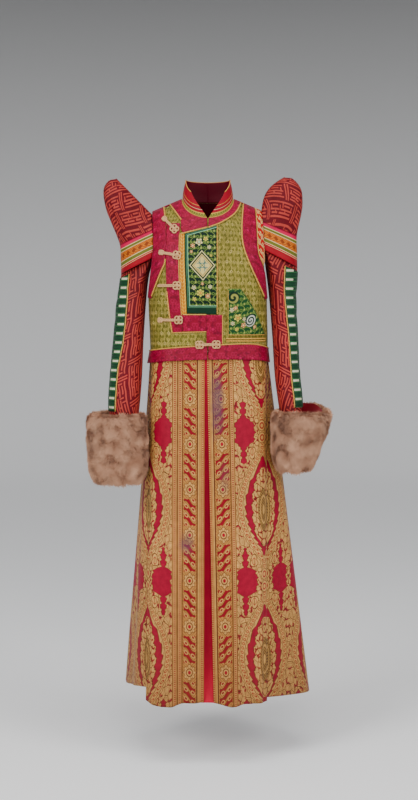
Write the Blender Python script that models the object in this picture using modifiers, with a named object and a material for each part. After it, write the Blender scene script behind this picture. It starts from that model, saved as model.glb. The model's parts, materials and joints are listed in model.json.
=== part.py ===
"""A worn Mongolian deel robe: hollow cloth pieces at their real size, in metres, +Z up.

The origin is the middle of the neck opening at the level of the collar's foot. The front faces -Y and
+X is the viewer's right. Every piece is an open sheet of cloth given its thickness by Solidify, and
what is sewn on a panel is made from the panel's own points, moved out.
"""
import math
from collections import namedtuple

import bmesh
import bpy
from mathutils import Vector

# Cloth and seams
CLOTH = 0.0016
TRIM_CLOTH = 0.0014
LIFT = 0.0012
SEAM = 0.0004
SIDE_GAP = 0.0009
SHOULDER_GAP = 0.0014

# Neck and shoulders
NECK_HALF_WIDTH = 0.068
NECK_FRONT_Z = -0.036
NECK_BACK_Z = 0.012
SHOULDER_NECK_Z = 0.045
SHOULDER_SLOPE = 0.42
SHOULDER_Y = 0.012
SHOULDER_ROUND = 0.15

# Levels
ARMHOLE_BOTTOM_Z = -0.250
BODICE_HEM_Z = -0.392
SKIRT_TOP_Z = -0.3927
HEM_Z = -1.297

# How far a trim's outer face stands from the panel below it, and a toggle's from the trims
ON_BODY = LIFT + TRIM_CLOTH
TOGGLE_THICKNESS = 0.003
TOGGLE_CLEAR = 0.0009
BAND_STEP = 0.0006
INSET_STEP = 0.0010
ON_TRIM = ON_BODY + TOGGLE_CLEAR + TOGGLE_THICKNESS
ON_WAIST = ON_TRIM + BAND_STEP
ON_ARMHOLE = ON_BODY + BAND_STEP

# Power of the rounded sections over the shoulder and across the chest
SHOULDER_POWER = 2.2
CHEST_POWER = 3.0

Section = namedtuple("Section", "z left right front back")
TORSO = [
    Section(0.060, 0.150, 0.148, 0.052, 0.066),
    Section(0.000, 0.153, 0.150, 0.066, 0.080),
    Section(-0.060, 0.158, 0.154, 0.090, 0.098),
    Section(-0.120, 0.160, 0.157, 0.107, 0.106),
    Section(-0.200, 0.1605, 0.158, 0.117, 0.107),
    Section(-0.280, 0.159, 0.159, 0.115, 0.100),
    Section(-0.350, 0.156, 0.161, 0.108, 0.094),
    Section(-0.430, 0.154, 0.160, 0.105, 0.095),
]

ArmholeEdge = namedtuple("ArmholeEdge", "z left right")
ARMHOLE = [
    ArmholeEdge(0.020, 0.150, 0.140),
    ArmholeEdge(-0.020, 0.149, 0.142),
    ArmholeEdge(-0.060, 0.146, 0.145),
    ArmholeEdge(-0.110, 0.144, 0.147),
    ArmholeEdge(-0.160, 0.149, 0.149),
    ArmholeEdge(-0.210, 0.155, 0.154),
    ArmholeEdge(ARMHOLE_BOTTOM_Z, 0.160, 0.1585),
]

EdgePoint = namedtuple("EdgePoint", "x z")


def read_table(rows, column, at):
    """A named column of a table at a height, on a smooth curve through its rows."""
    key = rows[0]._fields[0]
    places = [getattr(row, key) for row in rows]
    values = [getattr(row, column) for row in rows]
    if places[0] > places[-1]:
        places.reverse()
        values.reverse()
    if at <= places[0]:
        return values[0]
    if at >= places[-1]:
        return values[-1]
    low = max(i for i in range(len(places) - 1) if places[i] <= at)
    slopes = []
    for i in (low, low + 1):
        before = max(i - 1, 0)
        after = min(i + 1, len(places) - 1)
        slopes.append((values[after] - values[before]) / (places[after] - places[before]))
    step = places[low + 1] - places[low]
    t = (at - places[low]) / step
    start = values[low] * (2 * t ** 3 - 3 * t ** 2 + 1) + slopes[0] * step * (t ** 3 - 2 * t ** 2 + t)
    end = values[low + 1] * (3 * t ** 2 - 2 * t ** 3) + slopes[1] * step * (t ** 3 - t ** 2)
    return start + end


def mix(a, b, t):
    return a + (b - a) * t


def along(points, t):
    """A point at the fraction t of the length of a chain of edge points."""
    lengths = [math.hypot(b.x - a.x, b.z - a.z) for a, b in zip(points, points[1:])]
    left = t * sum(lengths)
    for a, b, length in zip(points, points[1:], lengths):
        if left <= length:
            part = left / length
            return mix(a.x, b.x, part), mix(a.z, b.z, part)
        left -= length
    return points[-1].x, points[-1].z


# The body of the robe as two height fields, front and back, that meet at the shoulder and side

def side_name(x):
    return "left" if x < 0 else "right"


def half_width(x, z):
    return read_table(TORSO, side_name(x), z)


def shoulder_z(x):
    return SHOULDER_NECK_Z - SHOULDER_SLOPE * abs(x)


def body_y(x, z, face):
    """Depth of the front (-1) or back (+1) of the body at a width and height."""
    part = min(abs(x) / half_width(x, z), 1.0)
    depth = read_table(TORSO, "front" if face < 0 else "back", z)
    chest = face * (depth * (1 - part ** CHEST_POWER) ** (1 / CHEST_POWER) + SIDE_GAP)
    drop = min(max((shoulder_z(x) - z) / SHOULDER_ROUND, 0.0), 1.0)
    fullness = (1 - (1 - drop) ** SHOULDER_POWER) ** (1 / SHOULDER_POWER)
    ridge = SHOULDER_Y + face * SHOULDER_GAP
    return mix(ridge, chest, fullness)


def neck_z(x, face):
    """Height of the neck edge, a half oval from shoulder to shoulder."""
    low = NECK_FRONT_Z if face < 0 else NECK_BACK_Z
    part = min(abs(x) / NECK_HALF_WIDTH, 1.0)
    return mix(low, shoulder_z(NECK_HALF_WIDTH), 1 - math.sqrt(1 - part ** 2))


def top_z(x, face):
    return neck_z(x, face) if abs(x) < NECK_HALF_WIDTH else shoulder_z(x)


def body_x(column, z):
    """Width at a column, from -1 at the left edge to 1 at the right, inside the armhole edge."""
    width = half_width(column, z)
    reach = math.pi / 2
    if z > ARMHOLE_BOTTOM_Z:
        reach = math.asin(min(read_table(ARMHOLE, side_name(column), z) / width, 1.0))
    return width * math.sin(column * reach)


def rounded_drop(part, start):
    """Drop below the shoulder line, spaced so that equal parts turn the cloth by equal angles."""
    first = math.acos((1 - max(start, 0.0) / SHOULDER_ROUND) ** (SHOULDER_POWER / 2))
    turn = mix(first, math.pi / 2, part)
    return SHOULDER_ROUND * (1 - max(math.cos(turn), 0.0) ** (2 / SHOULDER_POWER))


def body_point(column, row, face, low=BODICE_HEM_Z):
    """A point of the bodice: column from -1 to 1, row from 0 at the hem to 1 at the top edge."""
    top = 0.0
    for _ in range(12):
        top = top_z(body_x(column, top), face)
    x_top = body_x(column, top)
    down = 1 - row
    shoulder_share = 0.55
    if down < shoulder_share:
        z = shoulder_z(x_top) - rounded_drop(down / shoulder_share, shoulder_z(x_top) - top)
    else:
        z = mix(shoulder_z(x_top) - SHOULDER_ROUND, low, (down - shoulder_share) / (1 - shoulder_share))
    x = body_x(column, z)
    return Vector((x, body_y(x, z, face), z))


def on_body(x, z, face, lift):
    """A point at a width and height, moved straight out of the cloth below it by lift."""
    step = 0.001
    across = Vector((step, body_y(x + step / 2, z, face) - body_y(x - step / 2, z, face), 0))
    upward = Vector((0, body_y(x, z + step / 2, face) - body_y(x, z - step / 2, face), step))
    normal = across.cross(upward).normalized() * -face
    return Vector((x, body_y(x, z, face), z)) + normal * lift


# Making sheets and solids

def new_collection(name):
    collection = bpy.data.collections.new(name)
    bpy.context.scene.collection.children.link(collection)
    return collection


def cloth_material(name, colour, roughness):
    material = bpy.data.materials.new(name)
    material.use_nodes = True
    shader = material.node_tree.nodes["Principled BSDF"]
    shader.inputs["Base Color"].default_value = (*colour, 1)
    shader.inputs["Roughness"].default_value = roughness
    shader.inputs["Metallic"].default_value = 0.0
    return material


def add_object(name, mesh, material, collection):
    mesh.materials.append(material)
    mesh.shade_smooth()
    mesh.set_sharp_from_angle(angle=math.radians(50))
    thing = bpy.data.objects.new(name, mesh)
    collection.objects.link(thing)
    return thing


def faces_inward(shape, axis):
    """Whether the sheet's faces look towards an upright axis, or its own middle where none is given."""
    if axis is None:
        middle = sum((vertex.co for vertex in shape.verts), Vector()) / len(shape.verts)
        axis = (middle.x, middle.y)
    shape.normal_update()
    outward = 0.0
    for face in shape.faces:
        centre = face.calc_center_median()
        away = Vector((centre.x - axis[0], centre.y - axis[1], 0))
        outward += face.normal.dot(away) * face.calc_area()
    return outward < 0


def add_sheet(name, columns, rows, place, thickness, material, collection, closed=False, axis=(0, 0)):
    """A grid whose points are moved by place(u, v), made a wall that grows inward from them."""
    mesh = bpy.data.meshes.new(name)
    shape = bmesh.new()
    bmesh.ops.create_grid(shape, x_segments=columns, y_segments=rows, size=0.5)
    for vertex in shape.verts:
        vertex.co = place(vertex.co.x + 0.5, vertex.co.y + 0.5)
    if closed:
        bmesh.ops.remove_doubles(shape, verts=shape.verts, dist=0.000001)
    if faces_inward(shape, axis):
        bmesh.ops.reverse_faces(shape, faces=shape.faces)
    shape.to_mesh(mesh)
    shape.free()
    thing = add_object(name, mesh, material, collection)
    wall = thing.modifiers.new("Cloth thickness", "SOLIDIFY")
    wall.thickness = thickness
    wall.offset = -1
    return thing


def add_patch(name, columns, rows, first_edge, second_edge, face, lift, thickness, material, collection,
              crowding=1.0):
    """A sewn-on piece between two chains of edge points, lying on the front or back of the body.

    Crowding above 1 packs its rows towards the first points, where they start on the round shoulder.
    """
    def place(u, v):
        x0, z0 = along(first_edge, v ** crowding)
        x1, z1 = along(second_edge, v ** crowding)
        return on_body(mix(x0, x1, u), mix(z0, z1, u), face, lift)

    return add_sheet(name, columns, rows, place, thickness, material, collection)


# Colours of the cloths
MAGENTA = (0.42, 0.010, 0.075)
CRIMSON = (0.35, 0.012, 0.040)
GREEN_BROCADE = (0.47, 0.42, 0.11)
DARK_GREEN = (0.012, 0.065, 0.033)
GOLD_BROCADE = (0.45, 0.22, 0.09)
FRET_RED = (0.33, 0.035, 0.030)
ORANGE_GOLD = (0.55, 0.21, 0.06)
FUR_BROWN = (0.28, 0.17, 0.11)
CORD_PEACH = (0.75, 0.45, 0.22)


def build_bodice(robe):
    """Green brocade front in two halves and a back, with a hem that meets the skirt."""
    brocade = cloth_material("green_brocade", GREEN_BROCADE, 0.6)
    centre_gap = 0.002

    def front_half(side):
        def place(u, v):
            column = side * mix(centre_gap, 1.0, u)
            return body_point(column, v, -1)
        return place

    add_sheet("bodice_front_left", 11, 12, front_half(-1), CLOTH, brocade, robe)
    add_sheet("bodice_front_right", 11, 12, front_half(1), CLOTH, brocade, robe)
    add_sheet("bodice_back", 20, 11, lambda u, v: body_point(mix(-1, 1, u), v, 1), CLOTH, brocade, robe)


def neck_edge(side, face, lift_from_edge=0.0):
    """Edge points along the neck from the shoulder to the centre."""
    points = []
    for step in range(9):
        part = math.sin(math.radians(90 - step * 10)) if step < 8 else 0.03
        x = side * (NECK_HALF_WIDTH + lift_from_edge) * part
        points.append(EdgePoint(x, top_z(x, face) - lift_from_edge))
    return points


def build_yoke(robe):
    """Magenta band that frames the neck and reaches down to the flap."""
    damask = cloth_material("magenta_damask", MAGENTA, 0.5)
    left_hem = [
        EdgePoint(-0.101, shoulder_z(0.101)),
        EdgePoint(-0.083, -0.022),
        EdgePoint(-0.070, -0.041),
        EdgePoint(-0.0715, -0.079),
        EdgePoint(-0.0360, -0.0700),
        EdgePoint(-0.0010, -0.0615),
    ]
    right_hem = [
        EdgePoint(0.088, shoulder_z(0.088)),
        EdgePoint(0.080, -0.012),
        EdgePoint(0.068, -0.027),
        EdgePoint(0.048, -0.041),
        EdgePoint(0.028, -0.052),
        EdgePoint(0.001, -0.0615),
    ]
    for name, hem, side in (("yoke_front_left", left_hem, -1), ("yoke_front_right", right_hem, 1)):
        add_patch(name, 4, 10, neck_edge(side, -1), hem, -1, ON_BODY, TRIM_CLOTH, damask, robe, 2.0)
    for name, side in (("yoke_back_left", -1), ("yoke_back_right", 1)):
        hem = [EdgePoint(side * x, z) for x, z in (
            (0.095, shoulder_z(0.095)), (0.075, -0.030), (0.040, -0.048), (0.001, -0.052))]
        add_patch(name, 4, 9, neck_edge(side, 1), hem, 1, ON_BODY, TRIM_CLOTH, damask, robe, 2.0)


# Armhole bands and the brocade inset beside the right one
LEFT_BAND_INNER = [
    EdgePoint(-0.117, shoulder_z(0.117)),
    EdgePoint(-0.110, -0.050),
    EdgePoint(-0.110, -0.120),
    EdgePoint(-0.111, -0.155),
    EdgePoint(-0.119, -0.170),
    EdgePoint(-0.133, -0.205),
    EdgePoint(-0.149, -0.248),
]
RIGHT_BAND_INNER = [
    EdgePoint(0.094, shoulder_z(0.094)),
    EdgePoint(0.088, -0.060),
    EdgePoint(0.090, -0.108),
    EdgePoint(0.108, -0.156),
    EdgePoint(0.128, -0.200),
    EdgePoint(0.1445, -0.236),
    EdgePoint(0.149, -0.250),
]
RIGHT_BAND_OUTER = [
    EdgePoint(0.1250, shoulder_z(0.125)),
    EdgePoint(0.1280, -0.076),
    EdgePoint(0.1285, -0.128),
    EdgePoint(0.1430, -0.160),
    EdgePoint(0.1500, -0.182),
    EdgePoint(0.1530, -0.215),
    EdgePoint(0.1565, -0.247),
]


def armhole_edge(side, top, bottom, inset=0.0, steps=8):
    points = []
    for step in range(steps + 1):
        z = mix(top, bottom, step / steps)
        x = side * (read_table(ARMHOLE, "left" if side < 0 else "right", z) - inset)
        points.append(EdgePoint(x, min(z, shoulder_z(x))))
    return points


def build_armholes(robe):
    """Magenta bands round both armholes, front and back, and the strip of brocade in the right one."""
    damask = bpy.data.materials["magenta_damask"]
    brocade = cloth_material("red_gold_brocade", ORANGE_GOLD, 0.6)
    left_outer = armhole_edge(-1, shoulder_z(0.149), -0.244, 0.0015)
    add_patch("armhole_band_front_left", 4, 13, LEFT_BAND_INNER, left_outer, -1, ON_ARMHOLE, TRIM_CLOTH,
              damask, robe, 1.9)
    add_patch("armhole_band_front_right", 4, 13, RIGHT_BAND_INNER, RIGHT_BAND_OUTER, -1, ON_ARMHOLE,
              TRIM_CLOTH, damask, robe, 1.9)
    inset_inner = [EdgePoint(point.x + 4 * SEAM, point.z) for point in RIGHT_BAND_OUTER[:4]]
    inset_outer = armhole_edge(1, shoulder_z(0.142), -0.150)
    add_patch("armhole_inset_right", 2, 9, inset_inner, inset_outer, -1, ON_BODY + INSET_STEP, TRIM_CLOTH,
              brocade, robe, 2.4)
    for name, side, x_top, lift in (("armhole_band_back_left", -1, 0.117, ON_BODY),
                                    ("armhole_band_back_right", 1, 0.107, ON_ARMHOLE)):
        inner = [EdgePoint(side * x, z) for x, z in (
            (x_top, shoulder_z(x_top)), (x_top - 0.006, -0.070), (x_top, -0.140), (0.130, -0.205),
            (0.148, -0.248))]
        outer = armhole_edge(side, shoulder_z(0.145), -0.246)
        add_patch(name, 4, 13, inner, outer, 1, lift, TRIM_CLOTH, damask, robe, 1.9)


def build_flap(robe):
    """The front flap that closes to the viewer's left: strips and an embroidered dark green panel."""
    damask = bpy.data.materials["magenta_damask"]
    gold = cloth_material("gold_strip", ORANGE_GOLD, 0.55)
    green = cloth_material("dark_green_silk", DARK_GREEN, 0.55)
    strip_outer = [
        EdgePoint(-0.1090, -0.050),
        EdgePoint(-0.1090, -0.120),
        EdgePoint(-0.1095, -0.160),
        EdgePoint(-0.1080, -0.222),
        EdgePoint(-0.1020, -0.280),
        EdgePoint(-0.0935, -0.338),
    ]
    strip_inner = [
        EdgePoint(-0.0765, -0.050),
        EdgePoint(-0.0765, -0.080),
        EdgePoint(-0.0765, -0.160),
        EdgePoint(-0.0735, -0.222),
        EdgePoint(-0.0690, -0.290),
        EdgePoint(-0.0660, -0.338),
    ]
    add_patch("flap_edge", 2, 12, strip_outer, strip_inner, -1, ON_BODY, TRIM_CLOTH, damask, robe)
    gold_inner = [
        EdgePoint(-0.0615, -0.0795),
        EdgePoint(-0.0610, -0.160),
        EdgePoint(-0.0575, -0.222),
        EdgePoint(-0.0560, -0.2885),
    ]
    gold_outer = [EdgePoint(point.x + SEAM, point.z) for point in strip_inner[1:4]]
    gold_outer += [EdgePoint(-0.0690 + SEAM, -0.2885)]
    add_patch("flap_gold_strip", 1, 10, gold_outer, gold_inner, -1, ON_BODY, TRIM_CLOTH, gold, robe)
    panel_left = [EdgePoint(point.x + SEAM, point.z + 2 * SEAM) for point in gold_inner]
    panel_right = [EdgePoint(0.0245, -0.0565), EdgePoint(0.0245, -0.160), EdgePoint(0.0245, -0.2885)]
    add_patch("flap_panel", 4, 10, panel_left, panel_right, -1, ON_BODY, TRIM_CLOTH, green, robe)
    bottom_left = [EdgePoint(-0.0680, -0.2905), EdgePoint(-0.0655, -0.334)]
    bottom_right = [EdgePoint(-0.0040, -0.2905), EdgePoint(-0.0040, -0.334)]
    add_patch("flap_bottom", 5, 3, bottom_left, bottom_right, -1, ON_BODY, TRIM_CLOTH, damask, robe)
    corner_left = [EdgePoint(0.0520, -0.3440), EdgePoint(0.0520, -0.2220)]
    corner_right = [EdgePoint(0.1500, -0.3440), EdgePoint(0.0840, -0.2220)]
    add_patch("bodice_corner_right", 6, 6, corner_left, corner_right, -1, ON_BODY, TRIM_CLOTH, green, robe)


CollarRow = namedtuple("CollarRow", "height front_turn lean")
COLLAR = [
    CollarRow(0.000, 2.0, 0.000),
    CollarRow(0.018, 13.0, 0.0015),
    CollarRow(0.036, 29.0, 0.005),
    CollarRow(0.052, 48.0, 0.009),
]


COLLAR_CLEAR = 0.0006
COLLAR_SET_IN = 0.0003


def build_collar(robe):
    """Standing collar in two halves that meet low at the front and open in a V."""
    cloth = cloth_material("collar_cloth", MAGENTA, 0.5)

    def half(side):
        def place(u, v):
            height = mix(0.0, COLLAR[-1].height, v)
            front = read_table(COLLAR, "front_turn", height)
            lean = read_table(COLLAR, "lean", height)
            turn = math.radians(mix(front, 179.2, u))
            x = side * NECK_HALF_WIDTH * math.sin(turn)
            face = -1 if turn < math.pi / 2 else 1
            foot = on_body(x, top_z(x, face), face, 0.0)
            middle = Vector((0, SHOULDER_Y, 0))
            inward = Vector((middle.x - foot.x, middle.y - foot.y, 0)).normalized()
            return foot + inward * (lean - COLLAR_SET_IN) + Vector((0, 0, height + COLLAR_CLEAR + CLOTH))
        return place

    add_sheet("collar_left", 12, 3, half(-1), 0.0026, cloth, robe)
    add_sheet("collar_right", 12, 3, half(1), 0.0026, cloth, robe)


# Sleeves, worked out from rows that run across each one from its inner to its outer side

CapRow = namedtuple("CapRow", "t outer_x outer_z seam_z bulge bow")
LEFT_CAP = [
    CapRow(0.00, 0.246, 0.074, -0.0225, 0.004, 0.000),
    CapRow(0.10, 0.266, 0.069, -0.0265, 0.016, 0.000),
    CapRow(0.25, 0.2795, 0.045, -0.032, 0.022, 0.000),
    CapRow(0.45, 0.2745, 0.002, -0.039, 0.022, 0.000),
    CapRow(0.65, 0.2600, -0.040, -0.047, 0.018, 0.000),
    CapRow(0.85, 0.2450, -0.078, -0.056, 0.012, 0.000),
    CapRow(1.00, 0.2365, -0.104, -0.064, 0.008, 0.000),
    CapRow(1.50, 0.2345, -0.143, -0.103, 0.007, 0.000),
    CapRow(2.00, 0.2335, -0.181, -0.141, 0.007, 0.000),
]
RIGHT_CAP = [
    CapRow(0.00, 0.206, 0.078, -0.0185, 0.004, 0.016),
    CapRow(0.10, 0.228, 0.074, -0.022, 0.016, 0.013),
    CapRow(0.25, 0.2490, 0.048, -0.025, 0.022, 0.009),
    CapRow(0.45, 0.2530, 0.012, -0.030, 0.022, 0.005),
    CapRow(0.65, 0.2495, -0.022, -0.034, 0.018, 0.002),
    CapRow(0.85, 0.2430, -0.056, -0.038, 0.012, 0.000),
    CapRow(1.00, 0.2390, -0.080, -0.042, 0.008, 0.000),
    CapRow(1.50, 0.2400, -0.122, -0.080, 0.007, 0.000),
    CapRow(2.00, 0.2410, -0.164, -0.118, 0.007, 0.000),
]

# Distance from the armhole edge to the sleeve's seam, which runs just outside the armhole band
SLEEVE_STAND_OFF = 0.0015
SEAM_FIT = 0.97
CROWN_POWER = 0.7
STRIP_LIFT = 0.0034

ArmRow = namedtuple("ArmRow", "t outer_x outer_z inner_x inner_z middle_y depth chord")
LEFT_ARM = [
    ArmRow(0.00, 0.2335, -0.1822, 0.1490, -0.1422, 0.000, 0.050, 0.06),
    ArmRow(0.10, 0.2380, -0.220, 0.1590, -0.190, -0.003, 0.052, 0.25),
    ArmRow(0.25, 0.2445, -0.260, 0.1650, -0.245, -0.008, 0.054, 0.40),
    ArmRow(0.50, 0.2520, -0.360, 0.1720, -0.355, -0.032, 0.056, 0.50),
    ArmRow(0.75, 0.2590, -0.450, 0.1750, -0.450, -0.060, 0.055, 0.50),
    ArmRow(0.95, 0.2620, -0.540, 0.1815, -0.540, -0.087, 0.050, 0.50),
    ArmRow(1.00, 0.2540, -0.600, 0.1893, -0.600, -0.094, 0.045, 0.50),
]
RIGHT_ARM = [
    ArmRow(0.00, 0.2410, -0.1652, 0.1490, -0.1192, 0.000, 0.050, 0.06),
    ArmRow(0.10, 0.2390, -0.200, 0.1570, -0.180, -0.003, 0.052, 0.25),
    ArmRow(0.25, 0.2365, -0.250, 0.1640, -0.240, -0.008, 0.054, 0.40),
    ArmRow(0.50, 0.2400, -0.350, 0.1725, -0.350, -0.030, 0.055, 0.50),
    ArmRow(0.75, 0.2440, -0.450, 0.1780, -0.450, -0.056, 0.053, 0.50),
    ArmRow(0.95, 0.2500, -0.530, 0.1873, -0.530, -0.086, 0.040, 0.50),
    ArmRow(1.00, 0.2450, -0.590, 0.1970, -0.590, -0.090, 0.039, 0.50),
]


def cap_point(cap, side, around, t):
    """A point of the open upper sleeve: around runs from -1 at the front seam to 1 at the back."""
    seam_z = read_table(cap, "seam_z", t)
    outer_x = read_table(cap, "outer_x", t)
    outer_z = read_table(cap, "outer_z", t)
    seam_x = read_table(ARMHOLE, side_name(side), seam_z) + SLEEVE_STAND_OFF
    reach = math.cos(around * math.pi / 2)
    spread = abs(math.sin(around * math.pi / 2))
    x = mix(seam_x, outer_x, reach) - read_table(cap, "bow", t) * math.sin(math.pi * reach)
    z = mix(seam_z, outer_z, reach) + read_table(cap, "bow", t) * 0.6 * math.sin(math.pi * reach)
    face = -1 if around < 0 else 1
    seam_y = body_y(side * (seam_x - SLEEVE_STAND_OFF), seam_z, face) * SEAM_FIT
    crown = read_table(cap, "bulge", t) * math.sin(math.pi * spread) ** CROWN_POWER
    y = mix(SHOULDER_Y * (1 - min(t, 1)), seam_y, spread) + face * crown
    return Vector((side * x, y, z))


def arm_point(arm, side, turn, t, lift=0.0):
    """A point of the sleeve tube: turn is 0 at its outer side and grows towards the front."""
    get = {name: read_table(arm, name, t) for name in ArmRow._fields[1:]}
    chord_x = mix(get["inner_x"], get["outer_x"], get["chord"])
    chord_z = mix(get["inner_z"], get["outer_z"], get["chord"])
    reach = math.cos(turn)
    far_x = get["outer_x"] + lift if reach > 0 else get["inner_x"] - lift
    far_z = get["outer_z"] if reach > 0 else get["inner_z"]
    x = mix(chord_x, far_x, abs(reach))
    z = mix(chord_z, far_z, abs(reach))
    swell = math.sin(turn)
    y = get["middle_y"] - (get["depth"] + lift) * math.copysign(abs(swell) ** 0.9, swell)
    return Vector((side * x, y, z))


def build_sleeve(name, side, cap, arm, strip_turns, robe):
    """Puffed cap, striped armband, fret cloth tube and the barred strip along its outer side."""
    fret = bpy.data.materials.get("fret_cloth") or cloth_material("fret_cloth", FRET_RED, 0.6)
    band = bpy.data.materials.get("armband_stripes") or cloth_material("armband_stripes", ORANGE_GOLD, 0.6)
    barred = bpy.data.materials.get("barred_strip") or cloth_material("barred_strip", DARK_GREEN, 0.6)

    def cap_place(first, last):
        return lambda u, v: cap_point(cap, side, mix(-1, 1, u), mix(first, last, v))

    add_sheet("sleeve_puff_" + name, 16, 8, cap_place(0.0, 0.994), CLOTH, fret, robe, axis=None)
    add_sheet("armband_" + name, 16, 2, cap_place(1.0, 2.0), CLOTH, band, robe, axis=None)

    def tube(u, v):
        return arm_point(arm, side, mix(-math.pi, math.pi, u), v)

    add_sheet("sleeve_" + name, 16, 8, tube, CLOTH, fret, robe, closed=True, axis=None)
    top_turn, low_turn, back_turn = (math.radians(degrees) for degrees in strip_turns)

    def strip(u, v):
        front = mix(top_turn, low_turn, v)
        return arm_point(arm, side, mix(back_turn, front, u), mix(0.03, 0.955, v), STRIP_LIFT)

    add_sheet("sleeve_strip_" + name, 5, 8, strip, TRIM_CLOTH, barred, robe, axis=None)


CuffRow = namedtuple("CuffRow", "t drop shift half_width half_depth")
LEFT_CUFF = [
    CuffRow(0.00, 0.000, 0.000, 0.064, 0.066),
    CuffRow(0.08, 0.008, -0.002, 0.073, 0.074),
    CuffRow(0.20, 0.045, -0.002, 0.0765, 0.077),
    CuffRow(0.32, 0.100, 0.000, 0.0765, 0.077),
    CuffRow(0.44, 0.150, 0.001, 0.074, 0.074),
    CuffRow(0.52, 0.176, 0.002, 0.064, 0.066),
    CuffRow(0.60, 0.180, 0.003, 0.052, 0.056),
    CuffRow(0.68, 0.160, 0.004, 0.042, 0.050),
    CuffRow(0.80, 0.080, 0.010, 0.0385, 0.052),
    CuffRow(0.90, 0.030, 0.008, 0.046, 0.0605),
    CuffRow(1.00, 0.003, 0.002, 0.057, 0.0625),
]
RIGHT_CUFF = [
    CuffRow(0.00, 0.000, 0.006, 0.066, 0.066),
    CuffRow(0.08, 0.006, 0.006, 0.0745, 0.073),
    CuffRow(0.20, 0.030, 0.002, 0.0740, 0.075),
    CuffRow(0.32, 0.080, -0.006, 0.064, 0.070),
    CuffRow(0.44, 0.125, -0.013, 0.055, 0.064),
    CuffRow(0.52, 0.152, -0.015, 0.044, 0.056),
    CuffRow(0.60, 0.154, -0.016, 0.035, 0.048),
    CuffRow(0.68, 0.130, -0.018, 0.031, 0.046),
    CuffRow(0.80, 0.060, -0.021, 0.030, 0.050),
    CuffRow(0.90, 0.025, -0.009, 0.048, 0.059),
    CuffRow(1.00, 0.003, 0.004, 0.061, 0.063),
]
CUFF_TOP_LEFT = Vector((-0.2385, -0.090, -0.552))
CUFF_TOP_RIGHT = Vector((0.2430, -0.088, -0.546))


RIM_DEPTH = 0.06
RIM_RISE_LEFT = 0.005
RIM_RISE_RIGHT = 0.024
LINING_CLEAR = 0.0023
LINING_THICKNESS = 0.0012
LINING_STAND = 0.006


def cuff_point(top, cuff, rise, turn, t, inset=0.0):
    """A point of a cuff: turn is 0 at its right side and grows to the back, t runs round its section."""
    row = {field: cuff_value(cuff, field, t) for field in CuffRow._fields[1:]}
    x = top.x + row["shift"] + (row["half_width"] - inset) * math.cos(turn)
    y = top.y + (row["half_depth"] - inset) * math.sin(turn)
    outward = math.copysign(1.0, top.x) * math.cos(turn)
    share = max(math.sin(turn), 0.0) * math.sqrt(0.5 + 0.5 * outward)
    lifted = rise * share * max(1 - row["drop"] / RIM_DEPTH, 0.0)
    return Vector((x, y, top.z - row["drop"] + lifted))


def build_cuff(name, top, cuff, rise, robe):
    """Fur cuff: a thick turned-back ring of fur, open at both ends."""
    fur = bpy.data.materials.get("fur") or cloth_material("fur", FUR_BROWN, 0.9)
    round_steps = 20
    section_steps = 13
    mesh = bpy.data.meshes.new("cuff_" + name)
    shape = bmesh.new()
    rings = []
    for step in range(section_steps):
        ring = []
        for spoke in range(round_steps):
            turn = 2 * math.pi * spoke / round_steps
            place = cuff_point(top, cuff, rise, turn, step / section_steps)
            ring.append(shape.verts.new(place))
        rings.append(ring)
    for step in range(section_steps):
        first, second = rings[step], rings[(step + 1) % section_steps]
        for spoke in range(round_steps):
            after = (spoke + 1) % round_steps
            shape.faces.new((first[spoke], second[spoke], second[after], first[after]))
    shape.to_mesh(mesh)
    shape.free()
    add_object("cuff_" + name, mesh, fur, robe)


def cuff_value(cuff, field, t):
    """A column of a cuff's closed section, on a smooth curve that joins its two ends."""
    first = cuff[0]
    closing = first._replace(t=1.10)
    return read_table([*cuff, closing], field, t * 1.10)


WaistRow = namedtuple("WaistRow", "turn top bottom")
WAIST = [
    WaistRow(-180, -0.384, -0.424),
    WaistRow(-90, -0.387, -0.421),
    WaistRow(-45, -0.379, -0.413),
    WaistRow(0, -0.371, -0.408),
    WaistRow(45, -0.367, -0.409),
    WaistRow(90, -0.381, -0.419),
    WaistRow(180, -0.384, -0.424),
]
WAIST_FLARE = 0.006


def round_point(turn, z, lift):
    """A point on the waist's section: turn is 0 at the front and grows to the right, in degrees."""
    def on_section(degrees):
        part = math.sin(math.radians(degrees))
        face = -1 if abs(degrees) <= 90 else 1
        x = half_width(part, z) * part
        depth = read_table(TORSO, "front" if face < 0 else "back", z)
        y = face * (depth * (1 - min(abs(part), 1.0) ** CHEST_POWER) ** (1 / CHEST_POWER) + SIDE_GAP)
        return Vector((x, y, z))

    step = 1.0
    ahead = on_section(turn + step) - on_section(turn - step)
    outward = Vector((-ahead.y, ahead.x, 0)).normalized() * -1
    return on_section(turn) + outward * lift


def build_waist(robe):
    """Magenta band over the seam of bodice and skirt, open at the centre front."""
    damask = bpy.data.materials["magenta_damask"]

    def band(first, last):
        def place(u, v):
            turn = mix(first, last, u)
            z = mix(read_table(WAIST, "top", turn), read_table(WAIST, "bottom", turn), v)
            return round_point(turn, z, ON_BODY + WAIST_FLARE * v)
        return place

    add_sheet("waist_front_left", 12, 2, band(-89.4, -0.5), TRIM_CLOTH, damask, robe)
    add_sheet("waist_front_right", 12, 2, band(0.5, 89.4), TRIM_CLOTH, damask, robe)
    add_sheet("waist_back_left", 12, 2, band(-180.0 + 0.3, -90.6), TRIM_CLOTH, damask, robe)
    add_sheet("waist_back_right", 12, 2, band(90.6, 180.0 - 0.3), TRIM_CLOTH, damask, robe)


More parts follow.
